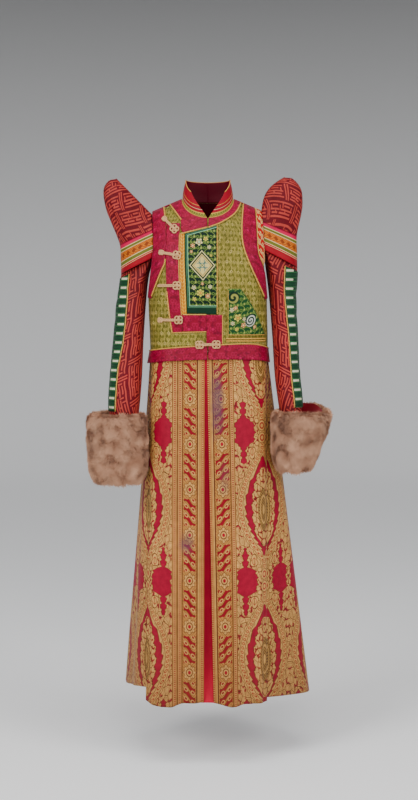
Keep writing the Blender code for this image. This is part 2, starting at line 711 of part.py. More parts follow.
# The skirt hangs from the waist's section to the hem, each column on its own line
HemPoint = namedtuple("HemPoint", "u turn x y z")
FRONT_LEFT_HEM = [
    HemPoint(0.00, -3.2, -0.0105, -0.204, HEM_Z),
    HemPoint(0.15, -14.0, -0.0340, -0.206, -1.300),
    HemPoint(0.35, -29.0, -0.0660, -0.203, -1.300),
    HemPoint(0.55, -44.0, -0.0960, -0.205, -1.3115),
    HemPoint(0.75, -59.0, -0.1240, -0.199, -1.3105),
    HemPoint(0.90, -70.0, -0.1480, -0.193, -1.303),
    HemPoint(1.00, -78.0, -0.1625, -0.183, -1.297),
]
FRONT_RIGHT_HEM = [
    HemPoint(0.00, -1.0, 0.0150, -0.204, -1.299),
    HemPoint(0.15, 13.0, 0.0360, -0.208, -1.303),
    HemPoint(0.35, 29.0, 0.0680, -0.206, -1.3105),
    HemPoint(0.55, 44.0, 0.0960, -0.203, -1.304),
    HemPoint(0.75, 58.0, 0.1210, -0.201, -1.301),
    HemPoint(0.90, 69.0, 0.1430, -0.194, -1.300),
    HemPoint(1.00, 78.0, 0.1550, -0.184, -1.298),
]
SIDE_BACK_HEM = [
    HemPoint(0.00, -68.0, -0.1360, -0.160, -1.272),
    HemPoint(0.05, -78.0, -0.1730, -0.130, -1.274),
    HemPoint(0.11, -85.0, -0.2040, -0.080, -1.282),
    HemPoint(0.17, -91.0, -0.2190, -0.018, -1.291),
    HemPoint(0.24, -98.0, -0.2120, 0.048, -1.295),
    HemPoint(0.32, -110.0, -0.1760, 0.118, -1.296),
    HemPoint(0.41, -138.0, -0.1030, 0.170, -1.296),
    HemPoint(0.50, -180.0, 0.0050, 0.190, -1.297),
    HemPoint(0.59, -222.0, 0.1160, 0.182, -1.298),
    HemPoint(0.68, -250.0, 0.2050, 0.140, -1.301),
    HemPoint(0.76, -262.0, 0.2600, 0.076, -1.305),
    HemPoint(0.83, -269.0, 0.2770, 0.002, -1.308),
    HemPoint(0.89, -275.0, 0.2570, -0.064, -1.306),
    HemPoint(0.95, -282.0, 0.2040, -0.118, -1.301),
    HemPoint(1.00, -292.0, 0.1420, -0.162, -1.296),
]

Fold = namedtuple("Fold", "u spread depth start")
FRONT_LEFT_FOLDS = [
    Fold(0.30, 0.10, 0.004, 0.35),
    Fold(0.62, 0.09, -0.005, 0.20),
    Fold(0.86, 0.07, 0.006, 0.10),
]
FRONT_RIGHT_FOLDS = [
    Fold(0.24, 0.09, 0.004, 0.30),
    Fold(0.52, 0.10, -0.005, 0.25),
    Fold(0.83, 0.08, 0.007, 0.08),
]
SIDE_BACK_FOLDS = [
    Fold(0.13, 0.025, -0.007, 0.15),
    Fold(0.23, 0.035, 0.011, 0.20),
    Fold(0.34, 0.032, -0.010, 0.12),
    Fold(0.45, 0.038, 0.012, 0.22),
    Fold(0.55, 0.034, -0.011, 0.10),
    Fold(0.66, 0.036, 0.010, 0.18),
    Fold(0.78, 0.030, -0.009, 0.15),
    Fold(0.88, 0.026, 0.007, 0.25),
]
TUCK = 0.0046
SIDE_SHARE = 0.7
STRIP_INSET = 0.0054
LAP_SHARE = 0.10


def fold_depth(folds, u, v):
    """How far the cloth stands out of its plain line, from soft ridges and troughs that grow downward."""
    total = 0.0
    for fold in folds:
        grown = min(max((v - fold.start) / (1 - fold.start), 0.0), 1.0)
        across = (u - fold.u) / fold.spread
        total += fold.depth * math.exp(-across * across) * grown * grown * (3 - 2 * grown)
    return total


def skirt_point(hem, folds, u, v, inset=0.0):
    """A point of a skirt panel: u along its hem, v from 0 at the waist to 1 at the hem."""
    get = {name: read_table(hem, name, u) for name in HemPoint._fields[1:]}
    turn = get["turn"] if get["turn"] >= -180 else get["turn"] + 360
    top = round_point(turn, SKIRT_TOP_Z, -inset)
    low = Vector((get["x"], get["y"], get["z"]))
    point = top.lerp(low, v)
    outward = Vector((point.x * SIDE_SHARE, point.y, 0)).normalized()
    return point + outward * fold_depth(folds, u, v)


def build_skirt(robe):
    """Two front panels that part at the centre, the crimson strip behind them, and sides with back."""
    brocade = cloth_material("skirt_brocade", GOLD_BROCADE, 0.55)
    crimson = cloth_material("crimson_cloth", CRIMSON, 0.6)

    def front(hem, folds):
        return lambda u, v: skirt_point(hem, folds, u, v)

    add_sheet("skirt_front_left", 12, 9, front(FRONT_LEFT_HEM, FRONT_LEFT_FOLDS), CLOTH, brocade, robe)
    add_sheet("skirt_front_right", 12, 9, front(FRONT_RIGHT_HEM, FRONT_RIGHT_FOLDS), CLOTH, brocade, robe)

    def wrap(first, last):
        def place(u, v):
            share = mix(first, last, u)
            lap = max(1 - min(share, 1 - share) / LAP_SHARE, 0.0)
            return skirt_point(SIDE_BACK_HEM, SIDE_BACK_FOLDS, share, v, TUCK * lap ** 0.5)
        return place

    add_sheet("skirt_side_left", 12, 9, wrap(0.0, 0.2995), CLOTH, brocade, robe)
    add_sheet("skirt_back", 16, 9, wrap(0.3005, 0.6995), CLOTH, brocade, robe)
    add_sheet("skirt_side_right", 12, 9, wrap(0.7005, 1.0), CLOTH, brocade, robe)

    def strip(u, v):
        left = skirt_point(FRONT_LEFT_HEM, FRONT_LEFT_FOLDS, 0.10, v)
        right = skirt_point(FRONT_RIGHT_HEM, FRONT_RIGHT_FOLDS, 0.10, v)
        point = left.lerp(right, u)
        return Vector((point.x, point.y + STRIP_INSET, mix(point.z, HEM_Z, v)))

    add_sheet("skirt_under_strip", 2, 9, strip, CLOTH, crimson, robe)


Toggle = namedtuple("Toggle", "name x0 z0 x1 z1")
TOGGLES = [
    Toggle("toggle_1", -0.116, -0.036, -0.080, -0.074),
    Toggle("toggle_2", -0.124, -0.127, -0.070, -0.137),
    Toggle("toggle_3", -0.127, -0.214, -0.070, -0.214),
    Toggle("toggle_4", -0.127, -0.304, -0.066, -0.303),
    Toggle("toggle_5", -0.032, -0.3690, 0.032, -0.3680),
]
CORD_HALF_WIDTH = 0.0028
FLOWER_HALF_WIDTH = 0.0080


def toggle_half_width(part, is_double):
    """Half width along a toggle: a cord that ends in a three-lobed flower, or in one at each end."""
    if is_double:
        part = abs(part - 0.5) * 2
    flower_start = 0.66
    if part < flower_start:
        return CORD_HALF_WIDTH
    lobe = math.sin(math.pi * (part - flower_start) / (1.02 - flower_start))
    return CORD_HALF_WIDTH + (FLOWER_HALF_WIDTH - CORD_HALF_WIDTH) * lobe


def build_toggles(robe):
    """Corded fastenings: each a flat cord that ends in a knotted flower, lying on the trims."""
    cord = cloth_material("toggle_cord", CORD_PEACH, 0.6)
    for toggle in TOGGLES:
        run = Vector((toggle.x1 - toggle.x0, 0, toggle.z1 - toggle.z0))
        cross = Vector((-run.z, 0, run.x)).normalized()
        is_double = toggle.name == "toggle_5"

        def place(u, v, toggle=toggle, run=run, cross=cross, is_double=is_double):
            half = toggle_half_width(v, is_double)
            x = toggle.x0 + run.x * v + cross.x * mix(-half, half, u)
            z = toggle.z0 + run.z * v + cross.z * mix(-half, half, u)
            return on_body(x, z, -1, ON_WAIST if is_double else ON_TRIM)

        add_sheet(toggle.name, 2, 11, place, TOGGLE_THICKNESS, cord, robe)


def build_cuff_lining(robe):
    """Crimson lining where the right cuff flares open, standing a little above the fur's rim."""
    crimson = cloth_material("cuff_lining_silk", CRIMSON, 0.45)

    def place(u, v):
        turn = math.radians(mix(-60, 112, u))
        point = cuff_point(CUFF_TOP_RIGHT, RIGHT_CUFF, RIM_RISE_RIGHT, turn, mix(0.905, 0.815, v),
                           LINING_CLEAR)
        return point + Vector((0, 0, LINING_STAND * (1 - v) * max(math.sin(turn), 0.0)))

    add_sheet("cuff_lining_right", 10, 3, place, LINING_THICKNESS, crimson, robe,
              axis=(CUFF_TOP_RIGHT.x, CUFF_TOP_RIGHT.y))


def build_robe():
    for thing in list(bpy.data.objects):
        bpy.data.objects.remove(thing)
    robe = new_collection("deel_robe")
    build_bodice(robe)
    build_yoke(robe)
    build_armholes(robe)
    build_flap(robe)
    build_collar(robe)
    build_sleeve("left", -1, LEFT_CAP, LEFT_ARM, (76, 60, -28), robe)
    build_sleeve("right", 1, RIGHT_CAP, RIGHT_ARM, (78, 74, -28), robe)
    build_cuff("left", CUFF_TOP_LEFT, LEFT_CUFF, RIM_RISE_LEFT, robe)
    build_cuff("right", CUFF_TOP_RIGHT, RIGHT_CUFF, RIM_RISE_RIGHT, robe)
    build_cuff_lining(robe)
    build_waist(robe)
    build_skirt(robe)
    build_toggles(robe)


build_robe()
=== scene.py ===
# A worn Mongolian deel robe of green, magenta and gold silks, shown as its hollow cloth alone. The
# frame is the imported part: every piece below is a finer cloth that stands where a plain one was.
import json
import math
from collections import namedtuple

import bmesh
import bpy
import numpy as np
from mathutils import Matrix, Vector
from mathutils.noise import noise

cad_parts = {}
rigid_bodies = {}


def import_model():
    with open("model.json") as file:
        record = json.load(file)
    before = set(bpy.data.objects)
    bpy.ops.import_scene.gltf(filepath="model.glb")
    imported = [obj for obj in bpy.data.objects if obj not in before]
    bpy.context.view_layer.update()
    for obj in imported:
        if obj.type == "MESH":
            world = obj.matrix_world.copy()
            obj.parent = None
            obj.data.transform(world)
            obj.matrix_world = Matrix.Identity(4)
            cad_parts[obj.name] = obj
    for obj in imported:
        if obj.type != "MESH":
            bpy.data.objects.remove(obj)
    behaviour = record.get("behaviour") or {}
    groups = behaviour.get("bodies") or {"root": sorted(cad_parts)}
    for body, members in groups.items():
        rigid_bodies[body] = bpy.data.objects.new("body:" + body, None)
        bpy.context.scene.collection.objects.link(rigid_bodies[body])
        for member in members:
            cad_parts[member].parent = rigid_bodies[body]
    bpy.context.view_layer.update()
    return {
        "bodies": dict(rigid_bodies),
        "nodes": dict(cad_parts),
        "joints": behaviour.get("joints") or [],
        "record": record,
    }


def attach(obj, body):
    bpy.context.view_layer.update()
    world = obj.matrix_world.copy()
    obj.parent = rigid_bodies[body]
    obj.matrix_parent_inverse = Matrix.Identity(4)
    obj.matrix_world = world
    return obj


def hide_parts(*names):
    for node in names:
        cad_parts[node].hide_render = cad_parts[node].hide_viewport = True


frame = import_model()

# The place of viewing: a long lens a little above the waist, looking slightly down. The floor is pale
# paper that bends up far away, lit by broad soft lamps, with painted shade higher up and a painted glow.
CAMERA_PLACE = (0.003, -4.2, -0.27)
CAMERA_AIM = (0.003, 0.0, -0.521)
LENS = 70.0
FLOOR_Z = -1.466
PAPER_LIGHT = 0.93
PAPER_PAINTED_SHADE = 0.25
PAPER_SHADE_RISE = 3.6
PAPER_FLAT = 6.4
PAPER_PAINTED_GLOW = 0.16
PAPER_BEND = 1.6
PAPER_WALL = 4.4
PAPER_SECTORS = 72
DYE_PURITY = 1.15
DYE_DEPTH = 0.80


def put_in_scene(name, data):
    thing = bpy.data.objects.new(name, data)
    bpy.context.scene.collection.objects.link(thing)
    return thing


def add_mesh(name, points, faces, material):
    """A smooth mesh of one material, as an object in the scene."""
    mesh = bpy.data.meshes.new(name)
    mesh.from_pydata([tuple(point) for point in points], [], faces)
    mesh.shade_smooth()
    mesh.materials.append(material)
    return put_in_scene(name, mesh)


def aim_from(thing, place, aim):
    """Stands a camera or a lamp at a place and turns it towards its aim."""
    thing.location = place
    thing.rotation_euler = (Vector(aim) - Vector(place)).to_track_quat("-Z", "Y").to_euler()


camera_data = bpy.data.cameras.new("camera")
camera_data.lens = LENS
camera = put_in_scene("camera", camera_data)
aim_from(camera, CAMERA_PLACE, CAMERA_AIM)
bpy.context.scene.camera = camera


def linear(red, green, blue):
    """A colour given as it looks on a screen, 0 to 255, turned into the shader's numbers."""
    parts = []
    for value in (red, green, blue):
        share = value / 255
        parts.append(share / 12.92 if share <= 0.04045 else ((share + 0.055) / 1.055) ** 2.4)
    return (*parts, 1.0)


def dye(red, green, blue):
    """The shader's colour of a dyed thread: a little deeper and purer than it looks in pale light."""
    parts = linear(red, green, blue)[:3]
    grey = 0.2126 * parts[0] + 0.7152 * parts[1] + 0.0722 * parts[2]
    return (*(max(grey + (part - grey) * DYE_PURITY, 0.0) * DYE_DEPTH for part in parts), 1.0)


def backdrop_paper():
    """A round floor of paper, flat under the robe, that bends up softly far away on every side; painted
    shade darkens it higher up, and it has a faint painted glow.
    """
    radius_and_height = [(0.02, 0.0), (PAPER_FLAT, 0.0)]
    for step in range(1, 13):
        turn = math.radians(step * 7.5)
        rise = PAPER_BEND * (1 - math.cos(turn))
        radius_and_height.append((PAPER_FLAT + PAPER_BEND * math.sin(turn), rise))
    radius_and_height.append((PAPER_FLAT + PAPER_BEND, PAPER_WALL))
    sectors = PAPER_SECTORS
    points = []
    for radius, height in radius_and_height:
        for sector in range(sectors):
            turn = 2 * math.pi * sector / sectors
            points.append((radius * math.cos(turn), radius * math.sin(turn), FLOOR_Z + height))
    faces = [tuple(range(sectors))]
    for ring in range(len(radius_and_height) - 1):
        for sector in range(sectors):
            after = (sector + 1) % sectors
            faces.append((ring * sectors + sector, (ring + 1) * sectors + sector,
                          (ring + 1) * sectors + after, ring * sectors + after))
    material = bpy.data.materials.new("pale_paper")
    material.use_nodes = True
    shader = material.node_tree.nodes["Principled BSDF"]
    shader.inputs["Roughness"].default_value = 0.9
    tree = material.node_tree
    place = tree.nodes.new("ShaderNodeTexCoord")
    parts = tree.nodes.new("ShaderNodeSeparateXYZ")
    # painted shade: the grey falls from the floor's pale value to a dark one higher up the paper
    painted_shade = tree.nodes.new("ShaderNodeMapRange")
    painted_shade.data_type = "FLOAT"
    painted_shade.inputs["From Min"].default_value = FLOOR_Z
    painted_shade.inputs["From Max"].default_value = FLOOR_Z + PAPER_SHADE_RISE
    painted_shade.inputs["To Min"].default_value = PAPER_LIGHT
    painted_shade.inputs["To Max"].default_value = PAPER_PAINTED_SHADE
    grey = tree.nodes.new("ShaderNodeCombineColor")
    tree.links.new(place.outputs["Object"], parts.inputs["Vector"])
    tree.links.new(parts.outputs["Z"], painted_shade.inputs["Value"])
    for channel in range(3):
        tree.links.new(painted_shade.outputs["Result"], grey.inputs[channel])
    tree.links.new(grey.outputs["Color"], shader.inputs["Base Color"])
    # painted light: the paper glows faintly in its own grey, lightening it and the shadows on it
    tree.links.new(grey.outputs["Color"], shader.inputs["Emission Color"])
    shader.inputs["Emission Strength"].default_value = PAPER_PAINTED_GLOW
    add_mesh("backdrop", points, faces, material)


def soft_lamp(name, place, aim, width, height, power):
    lamp = bpy.data.lights.new(name, "AREA")
    lamp.shape = "RECTANGLE"
    lamp.size = width
    lamp.size_y = height
    lamp.energy = power
    aim_from(put_in_scene(name, lamp), place, aim)


backdrop_paper()
soft_lamp("lamp_left", (-2.6, -3.0, 1.5), (0.0, 0.0, -0.5), 1.6, 2.2, 105)
soft_lamp("lamp_right", (2.8, -2.6, 1.1), (0.0, 0.0, -0.5), 1.6, 2.2, 66)
soft_lamp("lamp_floor", (0.0, -1.2, 2.6), (0.0, 0.3, -1.4), 2.6, 1.6, 60)
soft_lamp("lamp_front", (0.4, -4.6, 0.9), (0.0, 0.0, -0.6), 1.4, 1.4, 55)
room = bpy.data.worlds.new("room")
room.use_nodes = True
room.node_tree.nodes["Background"].inputs["Color"].default_value = linear(228, 230, 235)
room.node_tree.nodes["Background"].inputs["Strength"].default_value = 0.36
bpy.context.scene.world = room

# The bodice: two fronts and a back of yellow-green silk brocade with a small leafy figure, cut close
# over padded shoulders. It is worn, so slight creases pull from the armholes and the waist.
CLOTH = 0.0016
SIDE_GAP = 0.0009
SHOULDER_GAP = 0.0014
NECK_HALF_WIDTH = 0.068
NECK_FRONT_Z = -0.036
NECK_BACK_Z = 0.012
SHOULDER_NECK_Z = 0.045
SHOULDER_SLOPE = 0.42
SHOULDER_Y = 0.012
SHOULDER_ROUND = 0.15
ARMHOLE_BOTTOM_Z = -0.250
BODICE_HEM_Z = -0.392
SHOULDER_POWER = 2.2
CHEST_POWER = 3.0
SETTLING_ROUNDS = 12
ROUNDED_ROWS = 0.55


def rows(kind, values):
    """A table of named rows from plain ones."""
    return [kind(*row) for row in values]


Section = namedtuple("Section", "z left right front back")
TORSO = rows(Section, [
    (0.060, 0.150, 0.148, 0.052, 0.066),
    (0.000, 0.153, 0.150, 0.066, 0.080),
    (-0.060, 0.158, 0.154, 0.090, 0.098),
    (-0.120, 0.160, 0.157, 0.107, 0.106),
    (-0.200, 0.1605, 0.158, 0.117, 0.107),
    (-0.280, 0.159, 0.159, 0.115, 0.100),
    (-0.350, 0.156, 0.161, 0.108, 0.094),
    (-0.430, 0.154, 0.160, 0.105, 0.095),
])
ArmholeEdge = namedtuple("ArmholeEdge", "z left right")
ARMHOLE = rows(ArmholeEdge, [
    (0.020, 0.150, 0.140),
    (-0.020, 0.149, 0.142),
    (-0.060, 0.146, 0.145),
    (-0.110, 0.144, 0.147),
    (-0.160, 0.149, 0.149),
    (-0.210, 0.155, 0.154),
    (ARMHOLE_BOTTOM_Z, 0.160, 0.1585),
])
# Creases of the worn bodice, as lines on its front or back with a soft ridge or trough along each
Crease = namedtuple("Crease", "x0 z0 x1 z1 width depth")
FRONT_CREASES = rows(Crease, [
    (0.121, -0.215, 0.118, -0.290, 0.006, -0.0016),
    (0.132, -0.222, 0.131, -0.300, 0.007, 0.0018),
    (-0.148, -0.260, -0.060, -0.345, 0.012, -0.0013),
    (-0.150, -0.300, -0.100, -0.372, 0.010, 0.0012),
    (0.140, -0.255, 0.070, -0.310, 0.013, -0.0012),
    (0.150, -0.310, 0.085, -0.372, 0.010, 0.0013),
    (0.030, -0.200, 0.075, -0.130, 0.014, 0.0010),
    (-0.020, -0.325, 0.050, -0.350, 0.010, -0.0010),
    (-0.135, -0.020, -0.105, -0.110, 0.012, -0.0010),
    (0.128, -0.040, 0.100, -0.130, 0.013, -0.0011),
])
BACK_CREASES = rows(Crease, [
    (0.140, -0.150, 0.080, -0.235, 0.014, -0.0020),
    (-0.138, -0.160, -0.072, -0.220, 0.013, -0.0018),
    (0.145, -0.265, 0.040, -0.335, 0.012, 0.0016),
    (-0.148, -0.290, -0.060, -0.345, 0.014, 0.0015),
    (-0.030, -0.090, 0.020, -0.150, 0.018, -0.0013),
    (0.060, -0.330, 0.130, -0.372, 0.009, -0.0013),
    (-0.100, -0.345, -0.035, -0.375, 0.009, -0.0012),
])


def read_table(rows, column, at):
    """A named column of a table at a height, on a smooth curve through its rows."""
    key = rows[0]._fields[0]
    places = [getattr(row, key) for row in rows]
    values = [getattr(row, column) for row in rows]
    if places[0] > places[-1]:
        places.reverse()
        values.reverse()
    if at <= places[0]:
        return values[0]
    if at >= places[-1]:
        return values[-1]
    low = max(i for i in range(len(places) - 1) if places[i] <= at)
    slopes = []
    for i in (low, low + 1):
        before = max(i - 1, 0)
        after = min(i + 1, len(places) - 1)
        slopes.append((values[after] - values[before]) / (places[after] - places[before]))
    step = places[low + 1] - places[low]
    t = (at - places[low]) / step
    start = values[low] * (2 * t ** 3 - 3 * t ** 2 + 1) + slopes[0] * step * (t ** 3 - 2 * t ** 2 + t)
    end = values[low + 1] * (3 * t ** 2 - 2 * t ** 3) + slopes[1] * step * (t ** 3 - t ** 2)
    return start + end


def mix(a, b, t):
    return a + (b - a) * t


def crease_height(creases, x, z):
    """Sum of the soft ridges and troughs at a point, each fading out towards its two ends."""
    total = 0.0
    for crease in creases:
        run_x = crease.x1 - crease.x0
        run_z = crease.z1 - crease.z0
        length = math.hypot(run_x, run_z)
        part = ((x - crease.x0) * run_x + (z - crease.z0) * run_z) / length ** 2
        if part <= 0 or part >= 1:
            continue
        bow = 0.12 * length * part * (1 - part)
        off = ((x - crease.x0) * run_z - (z - crease.z0) * run_x) / length - bow
        if abs(off) < 3 * crease.width:
            total += crease.depth * math.exp(-(off / crease.width) ** 2) * math.sin(math.pi * part)
    return total


def side_name(x):
    return "left" if x < 0 else "right"


def half_width(x, z):
    return read_table(TORSO, side_name(x), z)


def shoulder_z(x):
    return SHOULDER_NECK_Z - SHOULDER_SLOPE * abs(x)


def body_y(x, z, face):
    """Depth of the front (-1) or back (+1) of the body at a width and height."""
    part = min(abs(x) / half_width(x, z), 1.0)
    depth = read_table(TORSO, "front" if face < 0 else "back", z)
    chest = face * (depth * (1 - part ** CHEST_POWER) ** (1 / CHEST_POWER) + SIDE_GAP)
    drop = min(max((shoulder_z(x) - z) / SHOULDER_ROUND, 0.0), 1.0)
    fullness = (1 - (1 - drop) ** SHOULDER_POWER) ** (1 / SHOULDER_POWER)
    ridge = SHOULDER_Y + face * SHOULDER_GAP
    ease = face * crease_height(FRONT_CREASES if face < 0 else BACK_CREASES, x, z)
    return mix(ridge, chest + ease, fullness)


def neck_z(x, face):
    """Height of the neck edge, a half oval from shoulder to shoulder."""
    low = NECK_FRONT_Z if face < 0 else NECK_BACK_Z
    part = min(abs(x) / NECK_HALF_WIDTH, 1.0)
    return mix(low, shoulder_z(NECK_HALF_WIDTH), 1 - math.sqrt(1 - part ** 2))


def top_z(x, face):
    return neck_z(x, face) if abs(x) < NECK_HALF_WIDTH else shoulder_z(x)


def body_x(column, z):
    """Width at a column, from -1 at the left edge to 1 at the right, inside the armhole edge."""
    width = half_width(column, z)
    reach = math.pi / 2
    if z > ARMHOLE_BOTTOM_Z:
        reach = math.asin(min(read_table(ARMHOLE, side_name(column), z) / width, 1.0))
    return width * math.sin(column * reach)


def rounded_drop(part, start):
    """Drop below the shoulder line, spaced so that equal parts turn the cloth by equal angles."""
    first = math.acos((1 - max(start, 0.0) / SHOULDER_ROUND) ** (SHOULDER_POWER / 2))
    turn = mix(first, math.pi / 2, part)
    return SHOULDER_ROUND * (1 - max(math.cos(turn), 0.0) ** (2 / SHOULDER_POWER))


def body_point(column, row, face):
    """A point of the bodice: column from -1 to 1, row from 0 at the hem to 1 at the top edge."""
    top = 0.0
    for _ in range(SETTLING_ROUNDS):
        top = top_z(body_x(column, top), face)
    x_top = body_x(column, top)
    down = 1 - row
    if down < ROUNDED_ROWS:
        z = shoulder_z(x_top) - rounded_drop(down / ROUNDED_ROWS, shoulder_z(x_top) - top)
    else:
        low_share = (down - ROUNDED_ROWS) / (1 - ROUNDED_ROWS)
        z = mix(shoulder_z(x_top) - SHOULDER_ROUND, BODICE_HEM_Z, low_share)
    x = body_x(column, z)
    return Vector((x, body_y(x, z, face), z))


def on_body(x, z, face, lift):
    """A point at a width and height, moved straight out of the cloth below it by lift."""
    step = 0.001
    across = Vector((step, body_y(x + step / 2, z, face) - body_y(x - step / 2, z, face), 0))
    upward = Vector((0, body_y(x, z + step / 2, face) - body_y(x, z - step / 2, face), step))
    normal = across.cross(upward).normalized() * -face
    return Vector((x, body_y(x, z, face), z)) + normal * lift


def cloth_lengths(points):
    """Distances over the cloth from its first column and its first row, in metres, at each point."""
    across = np.zeros(points.shape[:2])
    along_it = np.zeros(points.shape[:2])
    across[:, 1:] = np.cumsum(np.linalg.norm(np.diff(points, axis=1), axis=2), axis=1)
    along_it[1:, :] = np.cumsum(np.linalg.norm(np.diff(points, axis=0), axis=2), axis=0)
    return across, along_it


def add_cloth(name, columns, lines, place, thickness, material, closed=False, axis=(0, 0), lining=None,
              level=False):
    """A sheet of cloth: a fine grid moved by place(u, v), with its wall growing inward.

    Its UV map gives each point's distance over the cloth in metres, so that a woven figure keeps its
    true size and follows the cut. On a level cloth the distance down is the drop below its top.
    """
    grid = np.array([[place(c / columns, r / lines) for c in range(columns + 1)] for r in range(lines + 1)])
    across, down = cloth_lengths(grid)
    cut_length = float(down.max())
    if level:
        down = grid[:, :, 2].max() - grid[:, :, 2]
    if axis is None:
        axis = tuple(grid.reshape(-1, 3).mean(axis=0)[:2])
    side_a = grid[1:, :-1] - grid[:-1, :-1]
    side_b = grid[:-1, 1:] - grid[:-1, :-1]
    normals = np.cross(side_b, side_a)
    away = grid[:-1, :-1, :2] - np.array(axis)
    inward = (normals[:, :, 0] * away[:, :, 0] + normals[:, :, 1] * away[:, :, 1]).sum() < 0
    wide = columns if closed else columns + 1
    points = grid[:, :wide].reshape(-1, 3)
    faces = []
    corners = []
    for r in range(lines):
        for c in range(columns):
            quad = [(r, c), (r, c + 1), (r + 1, c + 1), (r + 1, c)]
            if inward:
                quad.reverse()
            faces.append([line * wide + column % wide for line, column in quad])
            corners += quad
    thing = add_mesh(name, points, faces, material)
    chart = thing.data.uv_layers.new(name="cloth")
    rows_of, columns_of = np.array(corners).T
    flat = np.stack([across[rows_of, columns_of], down[rows_of, columns_of]], axis=1)
    chart.data.foreach_set("uv", flat.astype(np.float32).ravel())
    surface = float(np.linalg.norm(normals, axis=2).sum())
    thing["cut"] = [float(across.max()), cut_length, surface]
    wall = thing.modifiers.new("cloth thickness", "SOLIDIFY")
    wall.thickness = thickness
    wall.offset = -1
    if lining:
        thing.data.materials.append(lining)
        wall.material_offset = 1
    return thing


def worn_piece(thing, node, rests_on, fullness=1.0):
    """Puts a sheet of cloth on the robe in the place of its plain node, and hides that node.

    A piece that isn't gathered is cut as wide and long as it lies; fullness is what gathering adds.
    """
    wide, long, area = thing["cut"]
    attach(thing, "root")
    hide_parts(node)
    round(wide * fullness, 3)
    round(min(area * fullness, round(wide * fullness, 3) * round(long, 3)), 5)


class Figure:
    """A number that varies over a cloth, worked out by math nodes in the cloth's material."""

    def __init__(self, tree, socket):
        self.tree = tree
        self.socket = socket

    def join(self, operation, *others):
        node = self.tree.nodes.new("ShaderNodeMath")
        node.operation = operation
        for place, value in enumerate((self, *others)):
            if isinstance(value, Figure):
                self.tree.links.new(value.socket, node.inputs[place])
            else:
                node.inputs[place].default_value = value
        return Figure(self.tree, node.outputs[0])

    def __add__(self, other):
        return self.join("ADD", other)

    def __sub__(self, other):
        return self.join("SUBTRACT", other)

    def __rsub__(self, other):
        return self * -1.0 + other

    def __mul__(self, other):
        return self.join("MULTIPLY", other)

    def __truediv__(self, other):
        return self.join("DIVIDE", other)

    def __abs__(self):
        return self.join("ABSOLUTE")

    def wave(self, period, shift=0.0):
        """Cosine of the length, one turn in each period."""
        return ((self + shift) * (2 * math.pi / period)).join("COSINE")

    def repeat(self, period, middle=0.0):
        """Distance from the nearest of the middles that lie a period apart."""
        return (self - (middle - period / 2)).join("FLOORED_MODULO", period) - period / 2

    def row_number(self, period, middle=0.0):
        return ((self - (middle - period / 2)) / period).join("FLOOR")

    def highest(self, other):
        return self.join("MAXIMUM", other)

    def lowest(self, other):
        return self.join("MINIMUM", other)

    def below(self, limit, soft=0.0006):
        """1 where the length is under the limit and 0 over it, with a soft edge."""
        node = self.tree.nodes.new("ShaderNodeMapRange")
        self.tree.links.new(self.socket, node.inputs["Value"])
        if isinstance(limit, Figure):
            over = self - limit
            self.tree.links.new(over.socket, node.inputs["Value"])
            limit = 0.0
        node.inputs["From Min"].default_value = limit - soft / 2
        node.inputs["From Max"].default_value = limit + soft / 2
        node.inputs["To Min"].default_value = 1.0
        node.inputs["To Max"].default_value = 0.0
        return Figure(self.tree, node.outputs["Result"])

    def within(self, low, high, soft=0.0006):
        return abs(self - (low + high) / 2).below((high - low) / 2, soft)


def length_of(a, b):
    return (a * a + b * b).join("SQRT")


def angle_of(a, b):
    return a.join("ARCTAN2", b)


def lobes(angle, count):
    """A wave that runs count times round a middle, for the edge of a blossom with that many petals."""
    return (angle * count).join("COSINE")


def half_drop(across, down, wide, tall, shift=None):
    """Places within a repeat of this width and height, every other row of them moved by half a width."""
    odd = down.row_number(tall).join("FLOORED_MODULO", 2.0)
    place = across + odd * (wide / 2)
    if shift:
        place = place + shift
    return place.repeat(wide), down.repeat(tall)


THREAD = 0.0011


